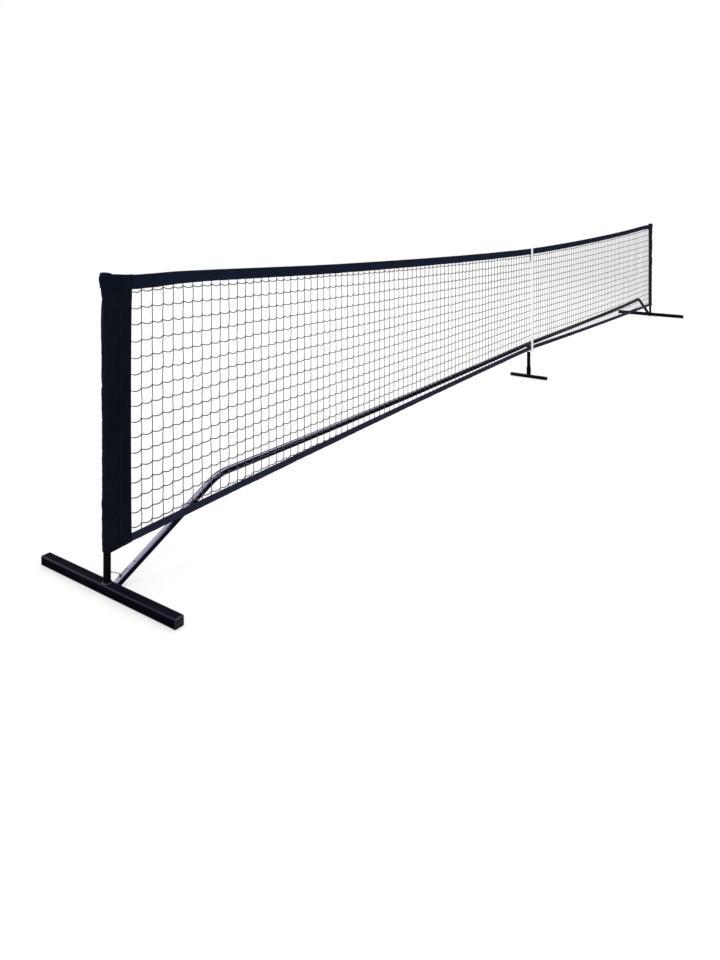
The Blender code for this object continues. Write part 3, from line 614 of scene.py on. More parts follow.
ELASTIC = twisted_twine("grey_green_cord", (0.115, 0.130, 0.115), (0.26, 0.28, 0.25), 6.0, 0.004, 0.7, 0.5)
WEBBING = white_webbing()
PILE = loop_pile()


def finish_cad_nodes():
    """Gives the CAD nodes that stay their finish and rounds their shading."""
    finishes = {
        "black_paint": RAIL_PAINT, "black_plastic": PLASTIC, "button_zinc": ZINC, "grey_cord": ELASTIC,
        "navy_fabric": BAND_CLOTH, "net_thread": TWINE, "white_webbing": WEBBING,
    }
    for part in frame["record"]["subparts"]:
        obj = frame["nodes"][part["node"]]
        finish = finishes[part["material_slot"]]
        if finish is RAIL_PAINT and "foot" in part["node"]:
            finish = FOOT_PAINT
        elif finish is RAIL_PAINT and "post" in part["node"]:
            finish = POST_PAINT
        if not obj.material_slots:
            obj.data.materials.append(finish)
        for held in obj.material_slots:
            held.material = finish
        obj.data.polygons.foreach_set("use_smooth", [True] * len(obj.data.polygons))
        weld = obj.modifiers.new("join_corners", "WELD")
        weld.merge_threshold = 0.00001
        split = obj.modifiers.new("keep_creases", "EDGE_SPLIT")
        split.split_angle = math.radians(32)


# Net


def row_heights(x):
    """Heights of the net's rows at x, from the top row down."""
    share = (x / POST_X) ** 2
    top = BAND.low(x) - ROW_SHOULDER_SHARE * shoulder(x) - ROW_UNDER_BAND
    low = TAPE.high(x) + ROW_LIFT_AT_TAPE[0] + ROW_LIFT_AT_TAPE[1] * share
    t = np.linspace(0, 1, NET_ROWS)[:, None]
    t = t + (ROW_SPREAD[1] * share + ROW_SPREAD[0]) * t * (1 - t)
    return top + (low - top) * t


def net_knots():
    """Places of the knots, rows x columns x 3, with the small unevenness of a hung net."""
    draw = np.random.default_rng(11)
    half = CELL_WIDTH * (NET_COLUMNS - 1) / 2
    x = np.linspace(-half, half, NET_COLUMNS)
    z = row_heights(x)
    rows = np.arange(NET_ROWS)[:, None]
    columns = np.arange(NET_COLUMNS)[None]
    lean = KNOT_LEAN * np.where((rows + columns) % 2, 1.0, -1.0)
    x = x + lean + draw.normal(0, KNOT_SCATTER[0], z.shape)
    z = z + draw.normal(0, KNOT_SCATTER[1], z.shape) + ROW_WAVE * ripple(x, z, 3, (0.9, 0.37))
    hang = np.sin(np.linspace(0.12, 3.0, NET_ROWS))[:, None]
    y = NET_Y + NET_BILLOW * hang * ripple(x, z, 5, (1.7, 0.62, 0.31)) - NET_FORWARD
    return np.stack([x, y, z], axis=-1)


def row_path(row, nodes):
    """A row's twine through its knots: it sags in each cell, lowest a little past the cell's middle."""
    draw = np.random.default_rng(100 + row)
    t = np.linspace(0, 1, 7)[:-1]
    sag = (t**1.25) * (1 - t) ** 0.8
    sag /= sag.max()
    points = []
    for a, b in zip(nodes, nodes[1:]):
        depth = CELL_SAG * draw.uniform(0.85, 1.12)
        cell = a + (b - a) * t[:, None]
        cell[:, 2] -= depth * sag
        cell[:, 1] += CELL_SWAY * np.sin(math.pi * t) * draw.uniform(-1, 1)
        points.append(cell)
    points.append(np.array([nodes[-1]]))
    return np.concatenate(points)


def edge_cell(start, end):
    """A row's twine from its last knot into the sleeve."""
    t = np.linspace(0, 1, 7)
    cell = start + (end - start) * t[:, None]
    cell[:, 2] -= CELL_SAG * np.sin(math.pi * t)
    return cell


def half_row(knots, row, side):
    """A row's twine in one half of the net, from end to end."""
    outer = knots[row, 0 if side < 0 else -1].copy()
    outer[0] = side * (NET_REACH + TWINE_TUCK)
    centre = NET_COLUMNS // 2
    if side < 0:
        return row_path(row, [outer, *knots[row, : centre + 1]])
    path = row_path(row, knots[row, centre:])
    return np.concatenate([path[:-1], edge_cell(path[-1], outer)])


def column_path(knots, column):
    """A column's twine from the band to the tape, bowed a little in each cell."""
    draw = np.random.default_rng(400 + column)
    x = knots[0, column, 0]
    top = np.array([x, NET_Y, float(BAND.low(x)) + TWINE_TUCK])
    x = knots[-1, column, 0]
    low = np.array([x, NET_Y, float(TAPE.high(x)) - TWINE_TUCK])
    inside = [k for k in knots[:, column] if low[2] + 0.004 < k[2] < top[2] - 0.004]
    nodes = [top, *inside, low]
    t = np.linspace(0, 1, 5)[:-1]
    points = []
    for number, (a, b) in enumerate(zip(nodes, nodes[1:])):
        cell = a + (b - a) * t[:, None]
        bow = COLUMN_BOW[0] * (1 if number % 2 else -1) + draw.normal(0, COLUMN_BOW[1])
        cell[:, 0] += bow * np.sin(math.pi * t)
        points.append(cell)
    points.append(np.array([low]))
    return np.concatenate(points)


def add_knot(skin, place, seed):
    """A flattened turn of twine round the crossing."""
    draw = np.random.default_rng(seed)
    tilt = KNOT_TILT[0] * (1 if seed % 2 else -1) + draw.normal(0, KNOT_TILT[1])
    way = np.array([math.cos(tilt), 0.0, math.sin(tilt)])
    spine = np.array([-1.25, -0.85, 0.0, 0.85, 1.25])[:, None] * KNOT_RADIUS * 0.75
    size = np.array([0.30, 0.82, 1.0, 0.82, 0.30]) * KNOT_RADIUS * draw.uniform(0.88, 1.12)
    skin.tube(place + spine * way, size, (0, 1, 0), 6, squash=0.8)


def net_half(name, knots, side):
    """One half of the knotted mesh."""
    skin = Skin()
    for row in range(NET_ROWS):
        path = half_row(knots, row, side)
        in_tape = smoothstep(-0.001, 0.003, TAPE.high(path[:, 0]) - path[:, 2])
        in_binding = smoothstep(-0.004, 0.0, np.abs(path[:, 0]) - NET_REACH)
        inside = np.maximum(in_tape, in_binding)
        path[:, 1] += (NET_Y - path[:, 1]) * inside
        skin.tube(path, ROW_TWINE * (1 - SEWN_IN_SHARE * inside), (0, 1, 0))
    centre = NET_COLUMNS // 2
    for column in range(centre + 1) if side < 0 else range(centre + 1, NET_COLUMNS):
        skin.tube(column_path(knots, column), COLUMN_TWINE, (0, 1, 0))
        for row in range(NET_ROWS):
            x, _, z = knots[row, column]
            if TAPE.high(x) - 0.001 < z < BAND.low(x) + 0.001:
                add_knot(skin, knots[row, column], row * NET_COLUMNS + column)
    skin.piece(name, TWINE, "net", "net_thread", "net_mesh")


# Band and tape


def fold_profile(points):
    """A closed fold from its front half: (half width, drop) from the top middle to the bottom middle."""
    front = [(-w, d) for w, d in points]
    back = [(w, d) for w, d in points[-2:0:-1]]
    return np.array(front + back)


def band_profile():
    turns = np.radians(np.linspace(90, -38, 9))
    roll = [(HEM_ROLL * math.cos(a), HEM_ROLL - HEM_ROLL * math.sin(a)) for a in turns]
    roll[0] = (0.0, 0.0)
    lower = [
        (0.0021, 0.0078), (0.0017, HEM_STITCH_DROP), (0.0020, 0.0107), (0.0025, 0.0138), (0.0027, 0.0180),
        (0.0027, 0.0228), (0.0026, 0.0272), (0.0022, 0.0310), (0.0018, 0.0334), (0.0022, 0.0352),
        (0.0024, 0.0370), (0.0018, 0.0383), (0.0, BAND_HEIGHT),
    ]
    return fold_profile(roll + lower)


def tape_profile():
    return fold_profile([
        (0.0, 0.0004), (0.0012, 0.0), (0.0020, 0.0008), (0.0021, 0.0022), (0.0016, TAPE_STITCH_DROP),
        (0.0019, 0.0054), (0.0022, 0.0090), (0.0022, 0.0140), (0.0023, 0.0190), (0.0022, 0.0225),
        (0.0016, 0.0244), (0.0, TAPE_HEIGHT),
    ])


def swept_fold(name, node, material, profile, crown, seed, pucker, flare):
    """A long folded strip: its profile at each station, with puckers and a slightly uneven edge."""
    stations = int(2 * NET_REACH / CLOTH_STEP)
    x = np.linspace(-NET_REACH, NET_REACH, stations)[:, None]
    width, drop = profile[:, 0][None], profile[:, 1][None]
    depth = drop / profile[:, 1].max()
    free = np.sin(math.pi * np.clip(depth, 0, 1)) ** 0.7
    front = np.where(width < 0, 1.0, -1.0)
    fine = ripple(x, drop * front, seed, (0.021, 0.034, 0.013), 1.6)
    broad = ripple(x, drop * front, seed + 1, (0.31, 0.12, 0.073), 0.9)
    swell = 1 + pucker * (0.55 * fine + 0.45 * broad) * free
    y = NET_Y + width * swell + CLOTH_WAVE * ripple(x, drop, seed + 2, (0.55, 0.23, 0.11)) * free
    edge = CLOTH_EDGE_WAVE * ripple(x, 0 * drop, seed + 3, (0.42, 0.16, 0.061))
    z = crown(x) - drop * (1 + flare * smoothstep(NET_REACH - FLARE_LENGTH, NET_REACH, np.abs(x)))
    z += edge * (0.25 + 0.75 * depth)
    points = np.stack(np.broadcast_arrays(x, y, z), axis=-1)
    skin = Skin()
    skin.closed_grid(points, lengths_along(np.vstack([profile, profile[:1]])), x[:, 0])
    skin.piece(name, material, "net", "navy_fabric", node)
    return points


def stitch_rows(name, points, profile, drops):
    """Rows of stitches along a swept fold, on its front and its back."""
    skin = Skin()
    for drop in drops:
        for front in (-1, 1):
            on_side = profile[:, 0] * front > 0
            column = int(np.argmin(np.where(on_side, np.abs(profile[:, 1] - drop), 9.0)))
            stitches(skin, points[:, column], (0.0, front, 0.0))
    skin.piece(name, SEWING, "net", "navy_fabric")


def build_tension_cord():
    """The cord in the band's hem, which follows the band."""
    x = np.linspace(-NET_REACH, NET_REACH, 220)
    low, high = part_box("top_cord")
    radius = (high.y - low.y) / 2
    drop = BAND.high(0.0) - float(Edge("top_cord").high(0.0)) + radius
    path = np.stack([x, np.full(len(x), (low.y + high.y) / 2), BAND.high(x) - drop], axis=1)
    skin = Skin()
    skin.tube(path, radius, (0, 1, 0), 8)
    skin.piece("band_tension_cord", ELASTIC, "net", "grey_cord", "top_cord")


def build_band():
    fold = band_profile()
    points = swept_fold(
        "top_band_cloth", "top_band", BAND_CLOTH, fold, BAND.high, seed=21, pucker=0.22, flare=0.15
    )
    stitch_rows("top_band_stitching", points, fold, (HEM_STITCH_DROP, BAND_HEIGHT - LOW_STITCH_RISE))


def build_tape():
    fold = tape_profile()
    points = swept_fold(
        "bottom_tape_cloth", "bottom_tape", TAPE_CLOTH, fold, TAPE.high, seed=31, pucker=0.18, flare=0.0
    )
    stitch_rows("bottom_tape_stitching", points, fold, (TAPE_STITCH_DROP,))


# End sleeves


def bezier(a, b, c, d, count):
    t = np.linspace(0, 1, count)[:, None]
    a, b, c, d = (np.array(p, float) for p in (a, b, c, d))
    return a * (1 - t) ** 3 + 3 * b * t * (1 - t) ** 2 + 3 * c * t**2 * (1 - t) + d * t**3


def even(path, count):
    """The path resampled to count evenly spaced points."""
    lengths = lengths_along(path)
    return at_lengths(path, lengths, np.linspace(0, lengths[-1], count))


def sleeve_plan(reach, outboard, front, back):
    """Plan (distance inboard, y) of the sleeve's sheet: in front, round the post, and back to the seam."""
    lead = bezier((reach, front), (reach * 0.6, front), (0.020, front), (0.004, front), 20)
    low = bezier((0.004, front), (-outboard * 0.8, front), (-outboard, front * 0.7), (-outboard, 0.0), 14)
    high = bezier((-outboard, 0.0), (-outboard, back * 0.9), (-outboard * 0.4, back), (0.002, back), 12)
    rear = NET_Y + SLEEVE_BEHIND
    closing = bezier((0.002, back), (0.016, back), (0.022, rear), (POCKET_SEAM_REACH, rear), 14)
    tail = bezier((POCKET_SEAM_REACH, rear), (0.045, rear), (0.060, rear), (reach, rear), 12)
    return np.concatenate([lead, low[1:], high[1:], closing[1:], tail[1:]])


def sleeve_sheet(side, word):
    """The sleeve's cloth at rest, rows x columns x 3, from the bottom hem up."""
    low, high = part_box(f"{word}_sleeve")
    reach = POST_X - (low.x if side > 0 else -high.x)
    hem_climb = float(TAPE.low(side * NET_REACH)) - low.z
    rows = []
    for height in np.linspace(0, 1, SHEET_ROWS):
        z = low.z + (high.z + SLEEVE_TUCK - low.z) * height
        slack = POST_RADIUS + SLEEVE_FIT + SLEEVE_SLACK * height + SLEEVE_TOP_SLACK * height**3
        inner = reach - SLEEVE_DRAWN_IN * math.sin(math.pi * min(1.0, height * 1.05)) ** 0.5
        back = SLEEVE_BACK[0] + SLEEVE_BACK[1] * height
        plan = even(sleeve_plan(inner, slack, NET_Y - SLEEVE_FORWARD, back), SHEET_COLUMNS)
        lift = hem_climb * (1 - height) ** 4
        rows.append([(side * (POST_X - d), y, z + lift * max(0.0, d / reach)) for d, y in plan])
    return np.array(rows)


def sheet_skin(points):
    skin = Skin()
    skin.grid(points, lengths_along(points[len(points) // 2]), points[:, 0, 2], flip=points[0, 0, 0] > 0)
    return skin


def seam_columns(points):
    """Columns of the sheet that lie on the post pocket's seam, in front and behind."""
    inboard = POST_X - np.abs(points[len(points) // 2, :, 0])
    half = SHEET_COLUMNS // 2
    front = int(np.argmin(np.abs(inboard[:half] - POCKET_SEAM_REACH)))
    back = half + int(np.argmin(np.abs(inboard[half:] - POCKET_SEAM_REACH)))
    return front, back


def hold_sheet(sheet, points):
    """Holds the sheet at its edges and at the pocket's seam, and more loosely at its hem."""
    front, back = seam_columns(points)
    held = sheet.vertex_groups.new(name="held")
    index = np.arange(points.shape[0] * points.shape[1]).reshape(points.shape[:2])
    held.add(index[:, [0, 1, -2, -1]].ravel().tolist(), HELD_AT_EDGES, "REPLACE")
    held.add(index[:, [front, back]].ravel().tolist(), HELD_AT_SEAMS, "REPLACE")
    held.add(index[-2:].ravel().tolist(), HELD_AT_EDGES, "REPLACE")
    held.add(index[:3].ravel().tolist(), HELD_AT_HEM, "ADD")


def trial_post(side):
    """A plain post for the cloth to rest on."""
    bpy.ops.mesh.primitive_cylinder_add(
        vertices=32, radius=POST_RADIUS + SIM_POST_GAP, depth=1.2, location=(side * POST_X, 0, 0.6)
    )
    post = bpy.context.object
    post.modifiers.new("solid", "COLLISION")
    post.collision.thickness_outer = 0.0006
    return post


def simulate_sleeve(points, word, side):
    """Lets the sheet hang as slightly oversized cloth on its seams, round the post."""
    sheet = sheet_skin(points).object(f"{word}_sleeve_trial", SLEEVE_CLOTH)
    hold_sheet(sheet, points)
    post = trial_post(side)
    cloth = sheet.modifiers.new("cloth", "CLOTH")
    for key, value in SIM_CLOTH.items():
        setattr(cloth.settings, key, value)
    cloth.settings.vertex_group_mass = "held"
    cloth.settings.effector_weights.gravity = SIM_GRAVITY
    cloth.collision_settings.distance_min = 0.0008
    scene = bpy.context.scene
    for step in range(1, SIM_FRAMES + 1):
        scene.frame_set(step)
    made = sheet.evaluated_get(bpy.context.evaluated_depsgraph_get())
    moved = np.array([v.co for v in made.data.vertices]).reshape(points.shape)
    scene.frame_set(1)
    bpy.data.objects.remove(sheet, do_unlink=True)
    bpy.data.objects.remove(post, do_unlink=True)
    return moved


def settle(points, moved):
    """Caps how far the cloth may have moved, and keeps its two layers apart and off the post."""
    shift = moved - points
    length = np.linalg.norm(shift, axis=-1, keepdims=True)
    shift *= np.minimum(1.0, SIM_LIMIT / np.maximum(length, 1e-9))
    made = points + shift
    front, back = seam_columns(points)
    made[:, : front + 1, 1] = np.minimum(made[:, : front + 1, 1], NET_Y - LAYER_GAP)
    made[:, back:, 1] = np.maximum(made[:, back:, 1], NET_Y + LAYER_GAP)
    away = np.stack([np.abs(made[..., 0]) - POST_X, made[..., 1]], axis=-1)
    distance = np.linalg.norm(away, axis=-1)
    push = np.maximum(0.0, POST_RADIUS + LAYER_GAP - distance) / np.maximum(distance, 1e-6)
    made[..., 0] += np.sign(made[..., 0]) * away[..., 0] * push
    made[..., 1] += away[..., 1] * push
    return made


def give_thickness(piece, thickness, offset):
    wall = piece.modifiers.new("cloth_thickness", "SOLIDIFY")
    wall.thickness = thickness
    wall.offset = offset


def build_sleeve(side, word):
    points = sleeve_sheet(side, word)
    moved = simulate_sleeve(points, word, side)
    points = settle(points, moved)
    piece = sheet_skin(points).piece(
        f"{word}_sleeve_cloth", SLEEVE_CLOTH, "net", "navy_fabric", f"{word}_sleeve"
    )
    give_thickness(piece, SHEET_THICK, 0.0)
    sleeve_seams(points, word)
    sleeve_binding(points, side, word)


def sleeve_seams(points, word):
    """Stitching on the sleeve: the post pocket's seam, the inner edge and the bottom hem."""
    front, back = seam_columns(points)
    skin = Skin()
    offset = SHEET_THICK / 2
    step = points.shape[0] // 50
    for columns, way in ((front, -1), (front + 1, -1), (2, -1), (back, 1), (SHEET_COLUMNS - 3, 1)):
        path = points[::step, columns] + np.array([0, way * offset, 0])
        stitches(skin, path, (0.0, way, 0.0))
    hem_row = int(HEM_HEIGHT / (points[-1, 0, 2] - points[0, 0, 2]) * SHEET_ROWS)
    stitches(skin, points[hem_row, 1 : front + 8] + np.array([0, -offset, 0]), (0.0, -1.0, 0.0))
    stitches(skin, points[hem_row, back:-1] + np.array([0, offset, 0]), (0.0, 1.0, 0.0))
    skin.piece(f"{word}_sleeve_stitching", SEWING, "net", "navy_fabric")


def sleeve_binding(points, side, word):
    """A folded binding tape over the sleeve's inner edge."""
    edge = points[::2, 0]
    half_width, half_thick, inset = BINDING
    count = BINDING_SIDES
    t = np.radians(np.linspace(-180, 180, count + 1)[:-1])
    ring = np.stack([half_width * np.cos(t), half_thick * np.sin(t)], axis=-1)
    wobble = 1 + 0.08 * ripple(edge[:, 2], 0 * edge[:, 2], 71 + side, (0.031, 0.012))
    grid = np.stack([
        edge[:, None, 0] + side * inset + ring[None, :, 0] * side,
        NET_Y + ring[None, :, 1] * wobble[:, None],
        np.repeat(edge[:, None, 2], count, axis=1),
    ], axis=-1)
    skin = Skin()
    skin.closed_grid(grid, np.linspace(0, 0.02, count + 1), edge[:, 2], flip=side > 0)
    skin.piece(f"{word}_sleeve_binding", SLEEVE_CLOTH, "net", "navy_fabric")


# Corner pockets


def pocket_outline(height, reach):
    """Plan of the corner pocket at a height from 0 to 1: front edge inboard to back edge inboard."""
    low, gain, top_gain = POCKET_BULGE
    bulge = low + gain * smoothstep(0.05, 0.60, height) + top_gain * smoothstep(0.62, 1.0, height)
    front = NET_Y - POCKET_FRONT[0] - POCKET_FRONT[1] * math.sin(math.pi * height)
    back = POCKET_BACK
    rear = NET_Y + POCKET_FRONT[0]
    lead = bezier((reach, front), (reach * 0.6, front), (0.020, front - 0.001), (0.000, front), 22)
    low = bezier((0.0, front), (-bulge * 0.75, front), (-bulge, front * 0.6), (-bulge, 0.0), 14)
    high = bezier((-bulge, 0.0), (-bulge, back * 0.8), (-bulge * 0.4, back), (0.0, back), 12)
    tail = bezier((0.0, back), (0.026, back), (0.022, rear), (reach, rear), 22)
    return even(np.concatenate([lead, low[1:], high[1:], tail[1:]]), POCKET_COLUMNS)


def pocket_top(inboard, side, high):
    """Height of the pocket's top: raised over the post, then down to the band."""
    band_line = high - BAND_LINE_DROP
    high -= KNOB_DROP[side]
    knob = 1 - smoothstep(-0.006, 0.010, inboard)
    return band_line + (high - band_line) * knob - NOTCH * smoothstep(0.010, 0.070, inboard)


def pocket_rings(side, word):
    """The corner pocket's rows from its lower edge up to its closed top, with each row's level and width."""
    low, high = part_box(f"{word}_band_pocket")
    reach = POST_X - (low.x if side > 0 else -high.x) + 0.0015
    levels = [*np.linspace(0, 0.92, 16), 0.955, 0.98, 0.995, 1.0, 1.0]
    pinch = [*([1.0] * 16), 0.96, 0.84, 0.60, 0.30, 0.0]
    rows = []
    for number, (level, keep) in enumerate(zip(levels, pinch)):
        plan = pocket_outline(level, reach)
        spine = (plan + plan[::-1]) / 2
        ring = spine + (plan - spine) * keep
        top = pocket_top(ring[:, 0], side, high.z)
        base = low.z - 0.0015 + POCKET_RISE * (1 - smoothstep(0.0, 0.055, ring[:, 0]))
        tuck = 0.93 if number == 0 else 1.0
        z = base + (top - base) * level
        ring = spine + (ring - spine) * tuck
        rows.append(np.stack([side * (POST_X - ring[:, 0]), ring[:, 1], z], axis=-1))
    return np.array(rows), np.array(levels), np.array(pinch)


def build_pocket(side, word, seed):
    points, levels, pinch = pocket_rings(side, word)
    free = pinch[:, None] * np.sin(math.pi * np.clip(levels, 0.08, 0.97))[:, None] ** 0.6
    tug = ripple(points[..., 0], points[..., 2] * 2.2, seed, (0.034, 0.019, 0.011), 1.6)
    points[..., 1] += 0.0007 * tug * free * np.sign(points[..., 1] - NET_Y + 1e-6)
    points[..., 2] += 0.0009 * ripple(points[..., 0], points[..., 1], seed + 4, (0.041, 0.017)) * free
    skin = Skin()
    skin.grid(points, np.linspace(0, 0.24, POCKET_COLUMNS), points[:, 0, 2], flip=side > 0)
    edge = np.stack([points[:, 0], points[:, -1]], axis=1)
    skin.grid(edge, (0.0, 0.004), points[:, 0, 2], flip=side < 0)
    # The corner pocket takes the darker cloth, which is painted shade.
    piece = skin.piece(f"{word}_corner_pocket", SHADED_POCKET_CLOTH, "net", "navy_fabric", f"{word}_band_pocket")
    join = piece.modifiers.new("join_edges", "WELD")
    join.merge_threshold = 0.00005
    give_thickness(piece, POCKET_THICK, -1.0)
    pocket_stitches(points, word)


def pocket_stitches(points, word):
    skin = Skin()
    for level in (2, 13):
        stitches(skin, points[level, 2:20], (0.0, -1.0, 0.0))
        stitches(skin, points[level, 54:70], (0.0, 1.0, 0.0))
    skin.piece(f"{word}_corner_stitching", SEWING, "net", "navy_fabric")


# Centre strap


def ribbon(skin, path, normals, across, width, thick, ribs=14):
    """Flat webbing along a path, with slightly thicker woven edges; across is along its width."""
    path, normals = np.asarray(path, float), np.asarray(normals, float)
    across = np.asarray(across, float)
    t = np.linspace(-0.5, 0.5, ribs)
    swell = 0.5 * thick * (1 + 0.12 * (np.abs(t) > 0.43))
    swell[[0, -1]] = 0.25 * thick
    top = path[:, None] + t[:, None] * width * across + swell[:, None] * normals[:, None]
    low = path[:, None] + t[:, None] * width * across - swell[:, None] * normals[:, None]
    ring = np.concatenate([top, low[:, ::-1]], axis=1)
    around = np.concatenate([t * width, t[::-1] * width, [t[0] * width]])
    skin.closed_grid(ring, around, lengths_along(path))


def strap_path():
    """The strap's path in (y, z): up the back, over the band and down the front."""
    low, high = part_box("centre_strap")
    radius = (high.y - low.y - WEB_THICK) / 2
    centre = (low.y + high.y) / 2
    top = high.z - WEB_THICK / 2 - radius
    back_end = top - STRAP_BACK_LEG
    back = [(centre + radius, z) for z in np.linspace(back_end, top, 24)[:-1]]
    turn = np.radians(np.linspace(0, 180, 15))
    over = [(centre + radius * math.cos(a), top + radius * math.sin(a)) for a in turn]
    front = [(centre - radius, z) for z in np.linspace(top, low.z, 160)[1:]]
    return np.array(back + over + front)


def path_normals(path):
    along = directions(path)
    return np.stack([along[:, 1], -along[:, 0]], axis=1)


def build_strap():
    low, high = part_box("centre_strap")
    path = strap_path()
    hang = ripple(path[:, 1], 0 * path[:, 1], 47, (0.21, 0.09))
    under_band = smoothstep(0.0, 0.05, high.z - 0.045 - path[:, 1])
    free = under_band * smoothstep(0.0, 0.09, path[:, 1] - low.z - 0.07)
    normals = path_normals(path)
    path = path + normals * (STRAP_HANG * (1 + hang) * free * (path[:, 0] < NET_Y))[:, None]
    full = np.stack([0.0008 * hang * free, path[:, 0], path[:, 1]], axis=1)
    face = np.stack([0 * hang, normals[:, 0], normals[:, 1]], axis=1)
    skin = Skin()
    ribbon(skin, full, face, (1, 0, 0), high.x - low.x, WEB_THICK)
    skin.piece("centre_strap_webbing", WEBBING, "net", "white_webbing", "centre_strap")
    strap_stitches(low, high)


def strap_stitches(low, high):
    """Boxes with one diagonal that hold the strap's folds, under the band and behind it."""
    skin = Skin()
    half = (high.x - low.x) / 2 - 0.004
    for way, y, base in ((-1, low.y, high.z - 0.075), (1, high.y, high.z - 0.078)):
        top = base + 0.026
        corners = [(-half, base), (half, base), (half, top), (-half, top), (-half, base), (half, top)]
        for a, b in zip(corners, corners[1:]):
            path = [(a[0], y - way * 0.0001, a[1]), (b[0], y - way * 0.0001, b[1])]
            stitches(skin, path, (0.0, way, 0.0), 0.0026, 0.0010, 0.0003)
    skin.piece("centre_strap_stitching", WHITE_SEWING, "net", "white_webbing")


def anchor_plan(radius, flap_y):
    """Plan of the webbing round the socket, open at the front where it meets the flap."""
    turn = np.radians(np.linspace(0, 180, 25))
    behind = [(radius * math.cos(a), radius * math.sin(a)) for a in turn]
    forward = [(radius, y) for y in np.linspace(flap_y + WEB_THICK, 0, 12)[:-1]]
    return np.array(forward + behind + [(-x, y) for x, y in forward[::-1]])


def build_anchor():
    """The webbing round the leg's socket, its flap, and the soft patch that the strap sticks to."""
    low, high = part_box("strap_anchor_loop")
    radius = high.y - middle("centre_leg").y - WEB_THICK / 2
    flap_y = low.y + WEB_THICK / 2
    plan = anchor_plan(radius, flap_y)
    facing = path_normals(plan)
    path = np.stack([plan[:, 0], plan[:, 1], np.full(len(plan), low.z + ANCHOR_BAND / 2)], axis=1)
    normals = np.stack([facing[:, 0], facing[:, 1], 0 * facing[:, 0]], axis=1)
    skin = Skin()
    ribbon(skin, path, normals, (0, 0, 1), ANCHOR_BAND, WEB_THICK, 8)
    z = np.linspace(low.z, high.z, 50)
    flap = np.stack([0 * z, np.full(50, flap_y), z], axis=1)
    ribbon(skin, flap, np.tile((0.0, 1.0, 0.0), (50, 1)), (1, 0, 0), high.x - low.x, WEB_THICK)
    skin.piece("anchor_webbing", WEBBING, "frame", "white_webbing", "strap_anchor_loop")
    anchor_patch(low, high)


def anchor_patch(low, high):
    width = high.x - low.x - 0.006
    z = np.linspace(low.z + ANCHOR_BAND + 0.004, high.z - 0.004, 60)
    y = low.y - PATCH_THICK / 2 + 0.00005 * ripple(z, 0 * z, 61, (0.006, 0.0031))
    path = np.stack([0 * z, y, z], axis=1)
    skin = Skin()
    ribbon(skin, path, np.tile((0.0, 1.0, 0.0), (60, 1)), (1, 0, 0), width, PATCH_THICK, 20)
    skin.piece("anchor_loop_patch", PILE, "frame", "white_webbing")
    thread = Skin()
    half = width / 2 - 0.0015
    for x in (-half, half):
        path = [(x, low.y - PATCH_THICK, z[0] + 0.002), (x, low.y - PATCH_THICK, z[-1] - 0.002)]
        stitches(thread, path, (0.0, -1.0, 0.0), 0.0026, 0.0012, 0.0003)
    thread.piece("anchor_stitching", WHITE_SEWING, "frame", "white_webbing")


# Welds and tethers


def weld_bead(name, path, radius, closed):
    """A rippled run of weld along a path, under the paint."""
    path = np.asarray(path, float)
    steps = np.arange(len(path))
    size = radius * (1 + 0.16 * np.sin(steps * 1.9) + 0.08 * np.sin(steps * 0.7))
    if closed:
        path = np.vstack([path, path[:2]])
        size = np.concatenate([size, size[:2]])
    skin = Skin()
    skin.tube(path, size, (0, 0, 1), 10)
    skin.piece(name, WELD, "frame", "black_paint")


def ring_path(x, z, radius, count=64):
    turn = np.linspace(0, math.tau, count, endpoint=False)
    return np.stack([x + radius * np.cos(turn), radius * np.sin(turn), np.full(count, z)], axis=1)


def stub_weld_path(side, word):
    """Where the angled stub meets the foot's inner side: the upper part of an oval."""
    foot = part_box(f"{word}_foot_bar")
    stub_low, stub_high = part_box(f"{word}_rail_stub")
    face = foot[0].x if side > 0 else foot[1].x
    half = (stub_high.y - stub_low.y) / 2
    co = np.array([v.co for v in frame["nodes"][f"{word}_rail_stub"].data.vertices])
    rim = co[np.abs(co[:, 0] - face) < 0.002]
    rise = rim[:, 2].max() - 0.002
    turn = np.radians(np.linspace(2, 178, 48))
    x = face - side * 0.0008
    return [(x, half * math.cos(a), 0.0015 + rise * math.sin(a) ** 0.8) for a in turn]


def build_welds():
    for side, word in SIDES:
        low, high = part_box(f"{word}_post_spigot")
        ring = ring_path(side * POST_X, low.z + 0.0006, (high.x - low.x) / 2 + 0.0006)
        weld_bead(f"{word}_spigot_weld", ring, 0.0017, True)
        weld_bead(f"{word}_stub_weld", stub_weld_path(side, word), 0.0017, False)
    low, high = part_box("centre_foot_socket")
    ring = ring_path(0.0, low.z + 0.0006, (high.x - low.x) / 2 + 0.0005)
    weld_bead("centre_socket_weld", ring, 0.0015, True)


def build_tether(side, word):
    """The thin elastic cord from the post to the bead on the foot's stub."""
    bead_low, bead_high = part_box(f"{word}_tether_bead")
    cord_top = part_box(f"{word}_tether_cord")[1].z
    start = np.array([side * (POST_X - POST_RADIUS + 0.0004), 0.0, cord_top - TETHER_RADIUS])
    lean = side * (bead_high.x - bead_low.x) * 0.22
    end = np.array([middle(f"{word}_tether_bead").x + lean, 0.0, bead_high.z + TETHER_RADIUS * 0.3])
    t = np.linspace(0, 1, 28)[:, None]
    path = start + (end - start) * t
    path[:, 2] += TETHER_ARCH * np.sin(math.pi * t[:, 0]) ** 0.8
    skin = Skin()
    skin.tube(path, TETHER_RADIUS, (0, 1, 0), 10)
    piece = skin.object(f"{word}_tether_line", ELASTIC)
    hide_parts(f"{word}_tether_cord")
    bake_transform(piece)
    tether_knot(start + np.array([-side * 0.0030, 0.0, 0.0]), word)


